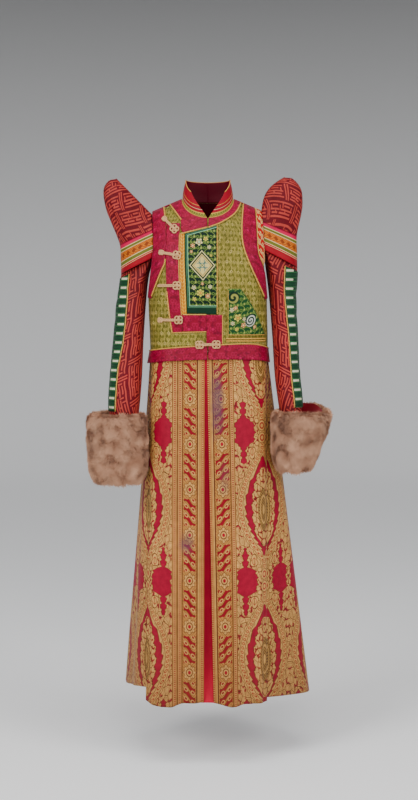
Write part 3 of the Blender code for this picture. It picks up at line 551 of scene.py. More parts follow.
class Silk:
    """A cloth's material while it is being made: its ground colour, then figures laid over it."""

    def __init__(self, name, ground, roughness, sheen=0.02):
        self.material = bpy.data.materials.new(name)
        self.material.use_nodes = True
        self.tree = self.material.node_tree
        self.shader = self.tree.nodes["Principled BSDF"]
        self.shader.inputs["Roughness"].default_value = roughness
        self.shader.inputs["Sheen Weight"].default_value = sheen
        self.shader.inputs["Sheen Roughness"].default_value = 0.5
        self.shader.inputs["Specular IOR Level"].default_value = 0.13
        chart = self.tree.nodes.new("ShaderNodeUVMap")
        chart.uv_map = "cloth"
        self.chart = chart.outputs["UV"]
        parts = self.tree.nodes.new("ShaderNodeSeparateXYZ")
        self.tree.links.new(self.chart, parts.inputs["Vector"])
        self.across = Figure(self.tree, parts.outputs["X"])
        self.down = Figure(self.tree, parts.outputs["Y"])
        self.colour = None
        self.ground = dye(*ground)
        self.height = self.weave()

    def weave(self):
        """Fine twill lines, as a height in shares of a thread."""
        diagonal = (self.across + self.down).wave(THREAD) * 0.5
        return diagonal * self.across.wave(THREAD * 0.7) * 0.25

    def speckle(self, scale, detail, seed):
        """Noise over the cloth, about 0.5 on average, in grains of about 1 / scale metres."""
        node = self.tree.nodes.new("ShaderNodeTexNoise")
        node.noise_dimensions = "4D"
        node.inputs["W"].default_value = seed
        node.inputs["Scale"].default_value = scale
        node.inputs["Detail"].default_value = detail
        self.tree.links.new(self.chart, node.inputs["Vector"])
        return Figure(self.tree, node.outputs["Fac"])

    def over_colours(self, blend):
        """A node that mixes one more colour over those so far."""
        node = self.tree.nodes.new("ShaderNodeMix")
        node.data_type = "RGBA"
        node.blend_type = blend
        if self.colour is None:
            node.inputs[6].default_value = self.ground
        else:
            self.tree.links.new(self.colour, node.inputs[6])
        self.colour = node.outputs[2]
        return node

    def lay(self, mask, colour, raised=0.0):
        """Paints a colour where the mask is 1, and may raise it as a thicker thread."""
        node = self.over_colours("MIX")
        self.tree.links.new(mask.socket, node.inputs["Factor"])
        node.inputs[7].default_value = dye(*colour)
        if raised:
            self.height = self.height + mask * raised

    def shade(self, amount, scale, detail, seed):
        """Uneven dye and handling marks: lighter and darker patches of the colours so far."""
        node = self.over_colours("MULTIPLY")
        node.inputs["Factor"].default_value = 1.0
        patches = (self.speckle(scale, detail, seed) - 0.5) * (amount * 2) + 1.0
        grey = self.tree.nodes.new("ShaderNodeCombineColor")
        for channel in range(3):
            self.tree.links.new(patches.socket, grey.inputs[channel])
        self.tree.links.new(grey.outputs["Color"], node.inputs[7])

    def finish(self, depth=0.00035):
        """Joins the colours and the thread heights to the shader."""
        self.tree.links.new(self.colour, self.shader.inputs["Base Color"])
        bump = self.tree.nodes.new("ShaderNodeBump")
        bump.inputs["Strength"].default_value = 0.7
        bump.inputs["Distance"].default_value = depth
        self.tree.links.new(self.height.socket, bump.inputs["Height"])
        self.tree.links.new(bump.outputs["Normal"], self.shader.inputs["Normal"])
        return self.material


def green_brocade():
    """Yellow-green silk with a close olive figure of curled leaves and small blossoms, rubbed in places."""
    silk = Silk("green_brocade", (168, 152, 90), roughness=0.52)
    wide, tall = 0.021, 0.027
    sway = (silk.speckle(26.0, 2.0, 4.0) - 0.5) * 0.010
    x, y = half_drop(silk.across + sway, silk.down + sway * 0.6, wide, tall)
    stem = abs(x - y.wave(tall, 0.004) * 0.0030).below(0.0014)
    leaf = (abs(abs(x) - 0.0050) + abs(y.repeat(tall / 2, 0.004)) * 0.6).below(0.0034)
    away = length_of(x, y)
    petals = away.below(lobes(angle_of(x, y), 5.0) * 0.0012 + 0.0040)
    rubbed = silk.speckle(60.0, 3.0, 6.0).join("SUBTRACT", 0.34).below(0.18, 0.16)
    silk.lay(abs((x + y * 0.6).repeat(0.0052)).below(0.0008), (134, 124, 62))
    silk.lay(leaf, (98, 94, 40), 0.3)
    silk.lay(stem, (86, 82, 34), 0.4)
    silk.lay(petals, (190, 172, 112), 0.5)
    silk.lay(away.below(0.0016), (96, 88, 32), 0.3)
    silk.lay(rubbed * 0.55, (104, 98, 44))
    silk.shade(0.42, 30.0, 4.0, 2.0)
    silk.shade(0.26, 6.0, 3.0, 5.0)
    return silk.finish()


def plain_lining():
    """Dark crimson silk that lines the robe, with a fine plain weave."""
    silk = Silk("lining_silk", (84, 10, 26), roughness=0.45)
    silk.shade(0.35, 12.0, 3.0, 9.0)
    return silk.finish()


BROCADE_GREEN = green_brocade()
LINING = plain_lining()
CENTRE_GAP = 0.002
SIDES = ((-1, "left"), (1, "right"))


def front_half(side):
    return lambda u, v: body_point(side * mix(CENTRE_GAP, 1.0, u), v, -1)


BODICE_PIECES = [
    ("front_left", 64, 84, front_half(-1), ["bodice_front_right"]),
    ("front_right", 64, 84, front_half(1), ["bodice_front_left"]),
    ("back", 100, 76, lambda u, v: body_point(mix(-1, 1, u), v, 1),
     ["bodice_front_left", "bodice_front_right"]),
]
for word, columns, lines, place, neighbours in BODICE_PIECES:
    bodice = add_cloth("bodice_silk_" + word, columns, lines, place, CLOTH, BROCADE_GREEN, lining=LINING)
    worn_piece(bodice, "bodice_" + word, neighbours)

# The yoke: a band of magenta damask round the neck, in four pieces, with a gold cord sewn into its
# lower edge. A wedge of figured green shows between it and the armhole band on the left shoulder.
TRIM_CLOTH = 0.0014
LIFT = 0.0012
ON_BODY = LIFT + TRIM_CLOTH
PIPING_RADIUS = 0.0019
PIPING_STEPS = 70
CORD_SIDES = 8
EdgePoint = namedtuple("EdgePoint", "x z")


def edge(*places):
    """A chain of edge points."""
    return rows(EdgePoint, places)


def along(points, t):
    """A point at the fraction t of the length of a chain of edge points."""
    lengths = [math.hypot(b.x - a.x, b.z - a.z) for a, b in zip(points, points[1:])]
    left = t * sum(lengths)
    for a, b, length in zip(points, points[1:], lengths):
        if left <= length:
            part = left / length
            return mix(a.x, b.x, part), mix(a.z, b.z, part)
        left -= length
    return points[-1].x, points[-1].z


def eased(points):
    """The chain of edge points with its corners cut twice, so that a sewn edge runs in a soft curve."""
    for _ in range(2):
        softer = [points[0]]
        for a, b in zip(points, points[1:]):
            softer.append(EdgePoint(mix(a.x, b.x, 0.25), mix(a.z, b.z, 0.25)))
            softer.append(EdgePoint(mix(a.x, b.x, 0.75), mix(a.z, b.z, 0.75)))
        points = softer + [points[-1]]
    return points


def add_patch(name, columns, lines, first_edge, second_edge, face, lift, material, crowding=1.0,
              level=False):
    """A sewn-on piece between two chains of edge points, lying on the front or back of the body."""
    def place(u, v):
        x0, z0 = along(first_edge, v ** crowding)
        x1, z1 = along(second_edge, v ** crowding)
        return on_body(mix(x0, x1, u), mix(z0, z1, u), face, lift)

    return add_cloth(name, columns, lines, place, TRIM_CLOTH, material, level=level)


def sewn_patch(name, node, material, first_edge, second_edge, face, lift=ON_BODY, grid=(16, 60),
               crowding=1.0, level=False):
    """A patch with eased edges, in the place of its plain node and laid on the bodice under it."""
    patch = add_patch(name, *grid, eased(first_edge), eased(second_edge), face, lift, material, crowding,
                      level)
    side = "left" if "left" in node or "flap" in node else "right"
    under = "bodice_silk_back" if face > 0 else "bodice_silk_front_" + side
    worn_piece(patch, node, [under])


def add_cord(name, path, radius, material):
    """A round cord along a path of points, with its twist given by its UV map in metres."""
    count = len(path)
    sides = CORD_SIDES
    points = []
    lengths = [0.0]
    for a, b in zip(path, path[1:]):
        lengths.append(lengths[-1] + (b - a).length)
    before = Vector((0, -1, 0.02)).normalized()
    for i, point in enumerate(path):
        ahead = (path[min(i + 1, count - 1)] - path[max(i - 1, 0)]).normalized()
        before = (before - ahead * before.dot(ahead)).normalized()
        across = ahead.cross(before)
        for s in range(sides):
            turn = 2 * math.pi * s / sides
            points.append(point + (before * math.cos(turn) + across * math.sin(turn)) * radius)
    faces = []
    charts = []
    around = 2 * math.pi * radius
    for i in range(count - 1):
        for s in range(sides):
            after = (s + 1) % sides
            faces.append((i * sides + s, i * sides + after, (i + 1) * sides + after, (i + 1) * sides + s))
            low, high = s / sides * around, (s + 1) / sides * around
            charts += [(low, lengths[i]), (high, lengths[i]), (high, lengths[i + 1]), (low, lengths[i + 1])]
    for ring, flip in ((0, False), (count - 1, True)):
        face = tuple(ring * sides + s for s in range(sides))
        faces.append(face if flip else tuple(reversed(face)))
        charts += [(0.0, lengths[ring])] * sides
    thing = add_mesh(name, points, faces, material)
    chart = thing.data.uv_layers.new(name="cloth")
    chart.data.foreach_set("uv", np.array(charts, np.float32).ravel())
    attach(thing, "root")
    return thing


def gold_cord(name, path, radius):
    return add_cord("piping_" + name, path, radius, PIPING_GOLD)


def twisted_cord(name, colour, shadow, pitch=0.0042):
    """Silk cord of two plies: slanting ridges with painted shade in the grooves between them."""
    silk = Silk(name, colour, roughness=0.5)
    shaded_groove = abs((silk.down + silk.across * 0.8).repeat(pitch))
    # painted shade: the grooves between the plies are painted in the darker shadow colour
    silk.lay(shaded_groove.below(pitch * 0.16, pitch * 0.2), shadow, -1.6)
    silk.shade(0.18, 60.0, 2.0, 3.0)
    return silk.finish(0.0007)


PIPING_GOLD = twisted_cord("piping_gold", (232, 188, 112), (176, 116, 52))


def piping(name, points, face, lift=ON_BODY, radius=PIPING_RADIUS, parts=(0.0, 1.0)):
    """Gold cord sewn along an edge that lies on the body, over the given parts of its length."""
    points = eased(points)
    path = []
    for step in range(PIPING_STEPS + 1):
        x, z = along(points, mix(*parts, step / PIPING_STEPS))
        path.append(on_body(x, z, face, lift - 0.0002))
    gold_cord(name, path, radius)


def magenta_damask():
    """Magenta silk damask: peony rosettes with curled leaves, a little lighter than their ground."""
    silk = Silk("magenta_damask", (136, 4, 46), roughness=0.45, sheen=0.03)
    x, y = half_drop(silk.across, silk.down, 0.034, 0.038)
    away = length_of(x, y)
    rosette = away.below(lobes(angle_of(x, y), 6.0) * 0.0014 + 0.0084)
    ring = abs(away - 0.0056).below(0.0009)
    heart = away.below(0.0022)
    curl = abs(length_of(abs(x) - 0.0130, abs(y) - 0.0120) - 0.0042).below(0.0011)
    leaf = (abs(abs(x) - 0.0128) + abs(abs(y) - 0.0030) * 0.5).below(0.0028)
    silk.lay(curl, (158, 12, 64), 0.4)
    silk.lay(leaf, (154, 10, 60), 0.4)
    silk.lay(rosette, (166, 14, 68), 0.5)
    silk.lay(ring, (124, 3, 42), -0.2)
    silk.lay(heart, (186, 26, 86), 0.3)
    silk.lay(silk.speckle(95.0, 2.0, 9.0).below(0.42, 0.08) * 0.6, (92, 0, 32))
    silk.shade(0.45, 60.0, 3.0, 7.0)
    silk.shade(0.34, 11.0, 2.0, 8.0)
    return silk.finish()


MAGENTA_DAMASK = magenta_damask()


def neck_edge(side, face):
    """Edge points along the neck from the shoulder to the centre."""
    points = []
    for step in range(17):
        part = math.sin(math.radians(90 - step * 5)) if step < 16 else 0.03
        x = side * NECK_HALF_WIDTH * part
        points.append(EdgePoint(x, top_z(x, face)))
    return points


YOKE_LEFT_HEM = edge(
    (-0.101, shoulder_z(0.101)), (-0.083, -0.022), (-0.070, -0.041), (-0.0715, -0.079),
    (-0.0360, -0.0700), (-0.0010, -0.0615))
YOKE_RIGHT_HEM = edge(
    (0.088, shoulder_z(0.088)), (0.080, -0.012), (0.068, -0.027), (0.048, -0.041), (0.028, -0.052),
    (0.001, -0.0615))
for (side, word), hem in zip(SIDES, (YOKE_LEFT_HEM, YOKE_RIGHT_HEM)):
    sewn_patch("yoke_damask_front_" + word, "yoke_front_" + word, MAGENTA_DAMASK,
               neck_edge(side, -1), hem, -1, crowding=2.0)
    back_hem = [EdgePoint(side * x, z) for x, z in (
        (0.095, shoulder_z(0.095)), (0.075, -0.030), (0.040, -0.048), (0.001, -0.052))]
    sewn_patch("yoke_damask_back_" + word, "yoke_back_" + word, MAGENTA_DAMASK,
               neck_edge(side, 1), back_hem, 1, crowding=2.0)
    piping("yoke_back_" + word, back_hem, 1)
piping("yoke_front_right", YOKE_RIGHT_HEM, -1)
piping("yoke_shoulder_left", YOKE_LEFT_HEM[:3], -1)
piping("flap_top", YOKE_LEFT_HEM[3:], -1)

# The armhole bands: magenta damask cut to the curve of each armhole, front and back, with gold cord
# on the inner edge. Red and cream brocade fills the strip outside the right one, and a thick cord of
# the damask covers each shoulder seam.
ON_ARMHOLE = ON_BODY + 0.0006
ON_INSET = ON_BODY + 0.0010
SHOULDER_SEAM = 0.0022
LEFT_BAND_INNER = edge(
    (-0.117, shoulder_z(0.117)), (-0.110, -0.050), (-0.110, -0.120), (-0.111, -0.155), (-0.119, -0.170),
    (-0.133, -0.205), (-0.149, -0.248))
RIGHT_BAND_INNER = edge(
    (0.094, shoulder_z(0.094)), (0.088, -0.060), (0.090, -0.108), (0.108, -0.156), (0.128, -0.200),
    (0.1445, -0.236), (0.149, -0.250))
RIGHT_BAND_OUTER = edge(
    (0.1250, shoulder_z(0.125)), (0.1280, -0.076), (0.1285, -0.128), (0.1430, -0.160), (0.1500, -0.182),
    (0.1530, -0.215), (0.1565, -0.247))


def armhole_edge(side, top, bottom, inset=0.0):
    points = []
    for step in range(9):
        z = mix(top, bottom, step / 8)
        x = side * (read_table(ARMHOLE, side_name(side), z) - inset)
        points.append(EdgePoint(x, min(z, shoulder_z(x))))
    return points


def red_gold_brocade():
    """Red silk with loose cream and gold blossoms, almost touching."""
    silk = Silk("red_gold_brocade", (186, 34, 36), roughness=0.5)
    x, y = half_drop(silk.across, silk.down, 0.022, 0.026, 0.006)
    away = length_of(x, y)
    petals = away.below(lobes(angle_of(x, y), 5.0) * 0.0026 + 0.0092)
    silk.lay(petals, (228, 196, 140), 0.6)
    silk.lay(abs(away - 0.0054).below(0.0008), (196, 92, 58), -0.2)
    silk.lay(away.below(0.0024), (206, 120, 66), 0.3)
    silk.shade(0.25, 60.0, 3.0, 4.0)
    return silk.finish()


RED_GOLD = red_gold_brocade()
left_outer = armhole_edge(-1, shoulder_z(0.149), -0.244, 0.0015)
sewn_patch("armhole_damask_front_left", "armhole_band_front_left", MAGENTA_DAMASK,
           LEFT_BAND_INNER, left_outer, -1, ON_ARMHOLE)
sewn_patch("armhole_damask_front_right", "armhole_band_front_right", MAGENTA_DAMASK,
           RIGHT_BAND_INNER, RIGHT_BAND_OUTER, -1, ON_ARMHOLE)
inset_inner = [EdgePoint(point.x + 0.0016, point.z) for point in RIGHT_BAND_OUTER[:4]]
sewn_patch("armhole_brocade_right", "armhole_inset_right", RED_GOLD,
           inset_inner, armhole_edge(1, shoulder_z(0.142), -0.150), -1, ON_INSET,
           grid=(10, 60), crowding=2.4)
for side, word, x_top, lift in ((-1, "left", 0.117, ON_BODY), (1, "right", 0.107, ON_ARMHOLE)):
    inner = [EdgePoint(side * x, z) for x, z in (
        (x_top, shoulder_z(x_top)), (x_top - 0.006, -0.070), (x_top, -0.140), (0.130, -0.205),
        (0.148, -0.248))]
    sewn_patch("armhole_damask_back_" + word, "armhole_band_back_" + word,
               MAGENTA_DAMASK, inner, armhole_edge(side, shoulder_z(0.145), -0.246), 1,
               lift, crowding=1.9)
    piping("armhole_back_" + word, inner, 1, lift)
piping("armhole_front_left", LEFT_BAND_INNER, -1, ON_ARMHOLE, parts=(0.0, 0.15))
piping("armhole_front_left_low", LEFT_BAND_INNER, -1, ON_ARMHOLE, parts=(0.56, 0.97))
piping("armhole_front_right", RIGHT_BAND_INNER, -1, ON_ARMHOLE, parts=(0.0, 0.97))
piping("inset_right", inset_inner, -1, ON_INSET, radius=0.0013)
for side, word in SIDES:
    seam = []
    for step in range(31):
        x = mix(NECK_HALF_WIDTH + 0.002, read_table(ARMHOLE, word, shoulder_z(0.15)), step / 30)
        seam.append(Vector((side * x, SHOULDER_Y, shoulder_z(x) + ON_BODY + 0.0002)))
    add_cord("seam_shoulder_" + word, seam, SHOULDER_SEAM, MAGENTA_DAMASK)

# The front flap: a panel of dark green silk worked in cream and mint, framed by a strip of orange-gold
# brocade and strips of magenta damask. It laps over the left front and closes with the toggles.


def orange_gold():
    """Orange-gold brocade ribbon with darker selvage lines and small slanting leaves."""
    silk = Silk("gold_strip", (206, 138, 58), roughness=0.45)
    leaf = abs((silk.down + abs(silk.across - 0.0080) * 1.3).repeat(0.0095)).below(0.0014)
    silk.lay(leaf, (232, 182, 96), 0.5)
    silk.lay(abs(silk.across - 0.0080).below(0.0007), (158, 84, 34), -0.3)
    silk.lay(abs(silk.across - 0.0015).below(0.0008), (168, 92, 38), -0.2)
    silk.lay(abs(silk.across - 0.0135).below(0.0008), (226, 176, 92), 0.3)
    silk.shade(0.3, 45.0, 3.0, 4.0)
    return silk.finish()


def worked_green(name, flowers, lozenge=None, frame=None, waves=()):
    """Dark green silk with a pattern in cream, mint and peach: a frame, a lozenge, flowers, leaves."""
    silk = Silk(name, (26, 66, 34) if waves else (8, 34, 20), roughness=0.45)
    x, y = silk.across, silk.down
    cream, mint, peach, pearl = (222, 214, 160), (136, 186, 150), (226, 170, 118), (196, 200, 186)
    vine_x = x.repeat(0.0180, 0.004)
    vine = abs(vine_x - y.wave(0.030, 0.003) * 0.0052).below(0.0009)
    curl = abs(length_of(abs(vine_x) - 0.0046, y.repeat(0.015)) - 0.0030).below(0.0008)
    buds = length_of(vine_x - 0.0046, y.repeat(0.015)).below(0.0014)
    silk.lay(curl, (112, 138, 70), 0.4)
    silk.lay(vine, (128, 146, 80), 0.4)
    silk.lay(buds, (198, 190, 120), 0.4)
    for wave_x, wave_y, turns in waves:
        away = length_of(x - wave_x, y - wave_y)
        swirl = away * (turns / 0.016) + angle_of(x - wave_x, y - wave_y) / (2 * math.pi)
        line = abs(swirl.repeat(1.0)).below(0.24, 0.1) * away.below(0.0155)
        silk.lay(away.below(0.0165), (10, 40, 24))
        silk.lay(line, pearl if turns > 1.5 else (150, 150, 84), 0.5)
    for index, (flower_x, flower_y, size) in enumerate(flowers):
        flower = length_of(x - flower_x, y - flower_y)
        petals = lobes(angle_of(x - flower_x, y - flower_y), 5.0 + index % 2) * (size * 0.22) + size
        silk.lay(flower.below(petals + size * 0.24), (20, 44, 30))
        silk.lay(flower.below(petals), (cream, peach, (214, 208, 110))[index % 3], 0.8)
        silk.lay(abs(flower - size * 0.58).below(size * 0.10), (120, 74, 40), -0.4)
        silk.lay(flower.below(size * 0.30), (mint, cream, (196, 120, 60))[index % 3], 0.4)
    if lozenge:
        middle_x, middle_y, half_x, half_y = lozenge
        reach = abs(x - middle_x) * (1 / half_x) + abs(y - middle_y) * (1 / half_y)
        soft = 0.03
        silk.lay(reach.below(1.16, soft), (8, 34, 22))
        silk.lay(abs(reach - 1.06).below(0.045, soft), cream, 0.8)
        silk.lay(reach.below(0.86, soft), (214, 196, 130), 0.5)
        knot_x = abs(abs(x - middle_x) - 0.0058)
        knot_y = abs(abs(y - middle_y) - 0.0058)
        inner = reach.below(0.62, soft)
        silk.lay(knot_x.lowest(knot_y).below(0.0011) * inner, (70, 118, 120), 0.5)
        silk.lay(abs(abs(x - middle_x) - abs(y - middle_y)).below(0.0012) * inner, (60, 92, 70), 0.4)
        silk.lay(abs(reach - 0.74).below(0.03, soft), (128, 84, 50), -0.3)
    if frame:
        low_x, low_y, high_y, slope = frame
        border = (x - low_x).lowest(y + x * slope - low_y).lowest((y - high_y) * -1)
        silk.lay(border.below(0.0), (10, 46, 28))
        silk.lay(abs(border).below(0.0009), mint, 0.8)
        silk.lay(abs(border + 0.0040).below(0.0006), (92, 138, 104), 0.5)
    silk.shade(0.25, 70.0, 3.0, 6.0)
    return silk.finish()


PANEL_FLOWERS = [
    (0.039, 0.044, 0.0082), (0.022, 0.054, 0.0052), (0.057, 0.036, 0.0056), (0.066, 0.058, 0.0046),
    (0.018, 0.070, 0.0036), (0.038, 0.178, 0.0086), (0.021, 0.164, 0.0052), (0.057, 0.186, 0.0058),
    (0.022, 0.194, 0.0046), (0.064, 0.162, 0.0048), (0.044, 0.154, 0.0034), (0.070, 0.080, 0.0032),
]
ORANGE_GOLD = orange_gold()
PANEL_GREEN = worked_green("dark_green_silk", PANEL_FLOWERS, lozenge=(0.0460, 0.106, 0.031, 0.036),
                           frame=(0.0085, 0.0290, 0.2120, 0.270))
STRIP_OUTER = edge(
    (-0.1090, -0.050), (-0.1090, -0.120), (-0.1095, -0.160), (-0.1080, -0.222), (-0.1020, -0.280),
    (-0.0935, -0.338))
STRIP_INNER = edge(
    (-0.0735, -0.050), (-0.0740, -0.080), (-0.0765, -0.160), (-0.0735, -0.222), (-0.0690, -0.290),
    (-0.0660, -0.338))
GOLD_INNER = edge(
    (-0.0615, -0.0795), (-0.0610, -0.160), (-0.0575, -0.222), (-0.0560, -0.2885))
SEAM = 0.0004


def sewn_foot(name, low_x, high_x, top, bottom):
    """The end of the flap's lower strip, which turns down at the centre front to the waist."""
    left = edge((low_x, top), (low_x, bottom))
    right = edge((high_x, top), (high_x, bottom))
    patch = add_patch(name, 14, 24, left, right, -1, ON_BODY, MAGENTA_DAMASK)
    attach(patch, "root")


sewn_patch("flap_damask_edge", "flap_edge", MAGENTA_DAMASK, STRIP_OUTER, STRIP_INNER,
           -1)
gold_outer = [EdgePoint(point.x + SEAM, point.z) for point in STRIP_INNER[1:4]]
gold_outer += edge((-0.0690 + SEAM, -0.2885))
sewn_patch("flap_gold_ribbon", "flap_gold_strip", ORANGE_GOLD, gold_outer, GOLD_INNER,
           -1, grid=(8, 70))
panel_left = [EdgePoint(point.x + SEAM, point.z + 0.0008) for point in GOLD_INNER]
panel_right = edge((0.0245, -0.0565), (0.0245, -0.160), (0.0245, -0.2885))
sewn_patch("flap_worked_panel", "flap_panel", PANEL_GREEN, panel_left, panel_right,
           -1, grid=(30, 70), level=True)
sewn_patch("flap_damask_bottom", "flap_bottom", MAGENTA_DAMASK,
           edge((-0.0680, -0.2905), (-0.0655, -0.334)),
           edge((-0.0040, -0.2905), (-0.0040, -0.334)), -1, grid=(24, 16))
piping("flap_edge", STRIP_OUTER, -1, parts=(0.62, 1.0))
piping("flap_gold_inner", STRIP_INNER, -1, radius=0.0012, parts=(0.10, 0.84))
piping("flap_panel_hem", edge((-0.0655, -0.2895), (-0.0040, -0.2895)), -1, radius=0.0015)
piping("flap_panel_edge", panel_right, -1, radius=0.0012)
sewn_foot("flap_damask_foot", -0.0036, 0.0385, -0.2905, -0.3665)
piping("flap_foot_edge", edge((0.0385, -0.2905), (0.0385, -0.3665)), -1, radius=0.0013)
piping("flap_bottom_hem", edge((-0.0925, -0.3375), (-0.0655, -0.3362),
                           (-0.0040, -0.3345)), -1, radius=0.0013)

# The lower corner of the right front is figured in dark green: a curled wave, blossoms and leaves,
# bounded by a cream line. A narrow gold stripe runs below it to the waist.
CORNER_FLOWERS = [
    (0.011, 0.056, 0.0056), (0.021, 0.052, 0.0050), (0.027, 0.078, 0.0086), (0.013, 0.092, 0.0050),
    (0.042, 0.100, 0.0060), (0.024, 0.108, 0.0044), (0.044, 0.084, 0.0042), (0.074, 0.112, 0.0044),
]
CORNER_GREEN = worked_green("dark_green_corner", CORNER_FLOWERS,
                            waves=((0.015, 0.024, 1.2), (0.062, 0.092, 2.2)))
corner_left = edge((0.0520, -0.2220), (0.0520, -0.3440))
corner_right = edge((0.0860, -0.2220), (0.1260, -0.2800), (0.1500, -0.3440))
sewn_patch("corner_worked_silk", "bodice_corner_right", CORNER_GREEN, corner_left,
           corner_right, -1, grid=(30, 40))
piping("corner_line_side", edge((0.0530, -0.2260), (0.0530, -0.3430)), -1, radius=0.0008)
piping("corner_line_foot", edge((0.0530, -0.3430), (0.1480, -0.3430)), -1, radius=0.0010)
for word, drop in (("upper", -0.3530), ("lower", -0.3590)):
    piping("corner_stripe_" + word, edge((0.0480, drop), (0.1500, drop)), -1, radius=0.0018)

# The collar: a low standing collar in two halves, open in a V. It is faced with red and olive ribbon
# between fine gold cords, and lined in dark silk.
COLLAR_CLEAR = 0.0006
COLLAR_TUCK = 0.0022
CollarRow = namedtuple("CollarRow", "height front_turn lean")
COLLAR = rows(CollarRow, [
    (0.000, 2.0, 0.000),
    (0.018, 13.0, 0.0015),
    (0.036, 29.0, 0.005),
    (0.052, 48.0, 0.009),
])


def ribbon_stripes(silk, stripes):
    """Lays stripes given as (from, to, colour, raised), measured down the cloth."""
    for low, high, colour, raised in stripes:
        silk.lay(silk.down.within(low, high, 0.0005), colour, raised)


def collar_ribbons():
    silk = Silk("collar_cloth", (150, 18, 40), roughness=0.5)
    gold, pale = (226, 180, 100), (222, 186, 150)
    ribbon_stripes(silk, [
        (0.0000, 0.0030, gold, 1.0),
        (0.0030, 0.0135, (112, 112, 52), 0.0),
        (0.0135, 0.0162, gold, 1.0),
        (0.0260, 0.0278, pale, 0.6),
        (0.0290, 0.0300, (96, 8, 26), 0.0),
        (0.0405, 0.0420, gold, 0.6),
    ])
    leaf = abs((silk.across + abs(silk.down - 0.0082)).repeat(0.0075)).below(0.0012)
    silk.lay(leaf * silk.down.within(0.0035, 0.0130), (168, 160, 88), 0.4)
    silk.shade(0.25, 50.0, 3.0, 3.0)
    return silk.finish()


def collar_half(side):
    def place(u, v):
        height = mix(-COLLAR_TUCK, COLLAR[-1].height, v)
        front = read_table(COLLAR, "front_turn", height)
        lean = read_table(COLLAR, "lean", height)
        turn = math.radians(mix(front, 179.95, u))
        x = side * NECK_HALF_WIDTH * math.sin(turn)
        face = -1 if turn < math.pi / 2 else 1
        foot = on_body(x, top_z(x, face), face, 0.0)
        inward = Vector((-foot.x, SHOULDER_Y - foot.y, 0)).normalized()
        return foot + inward * (lean - 0.0003) + Vector((0, 0, height + COLLAR_CLEAR + CLOTH))
    return place


COLLAR_CLOTH = collar_ribbons()
for side, word in SIDES:
    half = add_cloth("collar_ribbon_" + word, 72, 20, collar_half(side), 0.0026, COLLAR_CLOTH,
                     lining=LINING)
    worn_piece(half, "collar_" + word, ["yoke_damask_front_" + word])
    foot = [collar_half(side)(step / 60, 0.03) for step in range(61)]
    foot = [point + Vector((point.x, point.y - SHOULDER_Y, 0)).normalized() * 0.0008 for point in foot]
    gold_cord("collar_foot_" + word, foot, 0.0013)
    rim = [collar_half(side)(step / 60, 1.0) for step in range(61)]
    gold_cord("collar_rim_" + word, rim, 0.0011)

# The sleeves: each a tall puffed cap of red fret cloth, a band of coloured ribbons round the upper arm
# and a straight lower sleeve of the same fret cloth. A dark green strip with cream bars is sewn down its
# outer side, with a gold cord along the strip's front edge.
CapRow = namedtuple("CapRow", "t outer_x outer_z seam_z bulge bow")
LEFT_CAP = rows(CapRow, [
    (0.00, 0.246, 0.074, -0.0225, 0.004, 0.000),
    (0.10, 0.266, 0.069, -0.0265, 0.016, 0.000),
    (0.25, 0.2795, 0.045, -0.032, 0.022, 0.000),
    (0.45, 0.2745, 0.002, -0.039, 0.022, 0.000),
    (0.65, 0.2600, -0.040, -0.047, 0.018, 0.000),
    (0.85, 0.2450, -0.078, -0.056, 0.012, 0.000),
    (1.00, 0.2365, -0.104, -0.064, 0.008, 0.000),
    (1.50, 0.2345, -0.143, -0.103, 0.007, 0.000),
    (2.00, 0.2335, -0.181, -0.141, 0.007, 0.000),
])
RIGHT_CAP = rows(CapRow, [
    (0.00, 0.206, 0.078, -0.0185, 0.004, 0.016),
    (0.10, 0.228, 0.074, -0.022, 0.016, 0.013),
    (0.25, 0.2490, 0.048, -0.025, 0.022, 0.009),
    (0.45, 0.2530, 0.012, -0.030, 0.022, 0.005),
    (0.65, 0.2495, -0.022, -0.034, 0.018, 0.002),
    (0.85, 0.2430, -0.056, -0.038, 0.012, 0.000),
    (1.00, 0.2390, -0.080, -0.042, 0.008, 0.000),
    (1.50, 0.2400, -0.122, -0.080, 0.007, 0.000),
    (2.00, 0.2410, -0.164, -0.118, 0.007, 0.000),
])
SLEEVE_STAND_OFF = 0.0015
CREST_START = -0.08
CREST_ROLL = 0.0015
STRIP_LIFT = 0.0022
ArmRow = namedtuple("ArmRow", "t outer_x outer_z inner_x inner_z middle_y depth chord")
LEFT_ARM = rows(ArmRow, [
    (0.00, 0.2335, -0.1822, 0.1490, -0.1422, 0.000, 0.050, 0.06),
    (0.10, 0.2380, -0.220, 0.1590, -0.190, -0.003, 0.052, 0.25),
    (0.25, 0.2445, -0.260, 0.1650, -0.245, -0.008, 0.054, 0.40),
    (0.50, 0.2520, -0.360, 0.1720, -0.355, -0.032, 0.056, 0.50),
    (0.75, 0.2590, -0.450, 0.1750, -0.450, -0.060, 0.055, 0.50),
    (0.95, 0.2620, -0.540, 0.1815, -0.540, -0.087, 0.050, 0.50),
    (1.00, 0.2540, -0.600, 0.1893, -0.600, -0.094, 0.045, 0.50),
])
RIGHT_ARM = rows(ArmRow, [
    (0.00, 0.2410, -0.1652, 0.1490, -0.1192, 0.000, 0.050, 0.06),
    (0.10, 0.2390, -0.200, 0.1570, -0.180, -0.003, 0.052, 0.25),
    (0.25, 0.2365, -0.250, 0.1640, -0.240, -0.008, 0.054, 0.40),
    (0.50, 0.2400, -0.350, 0.1725, -0.350, -0.030, 0.055, 0.50),
    (0.75, 0.2440, -0.450, 0.1780, -0.450, -0.056, 0.053, 0.50),
    (0.95, 0.2500, -0.530, 0.1873, -0.530, -0.086, 0.040, 0.50),
    (1.00, 0.2450, -0.590, 0.1970, -0.590, -0.090, 0.039, 0.50),
])
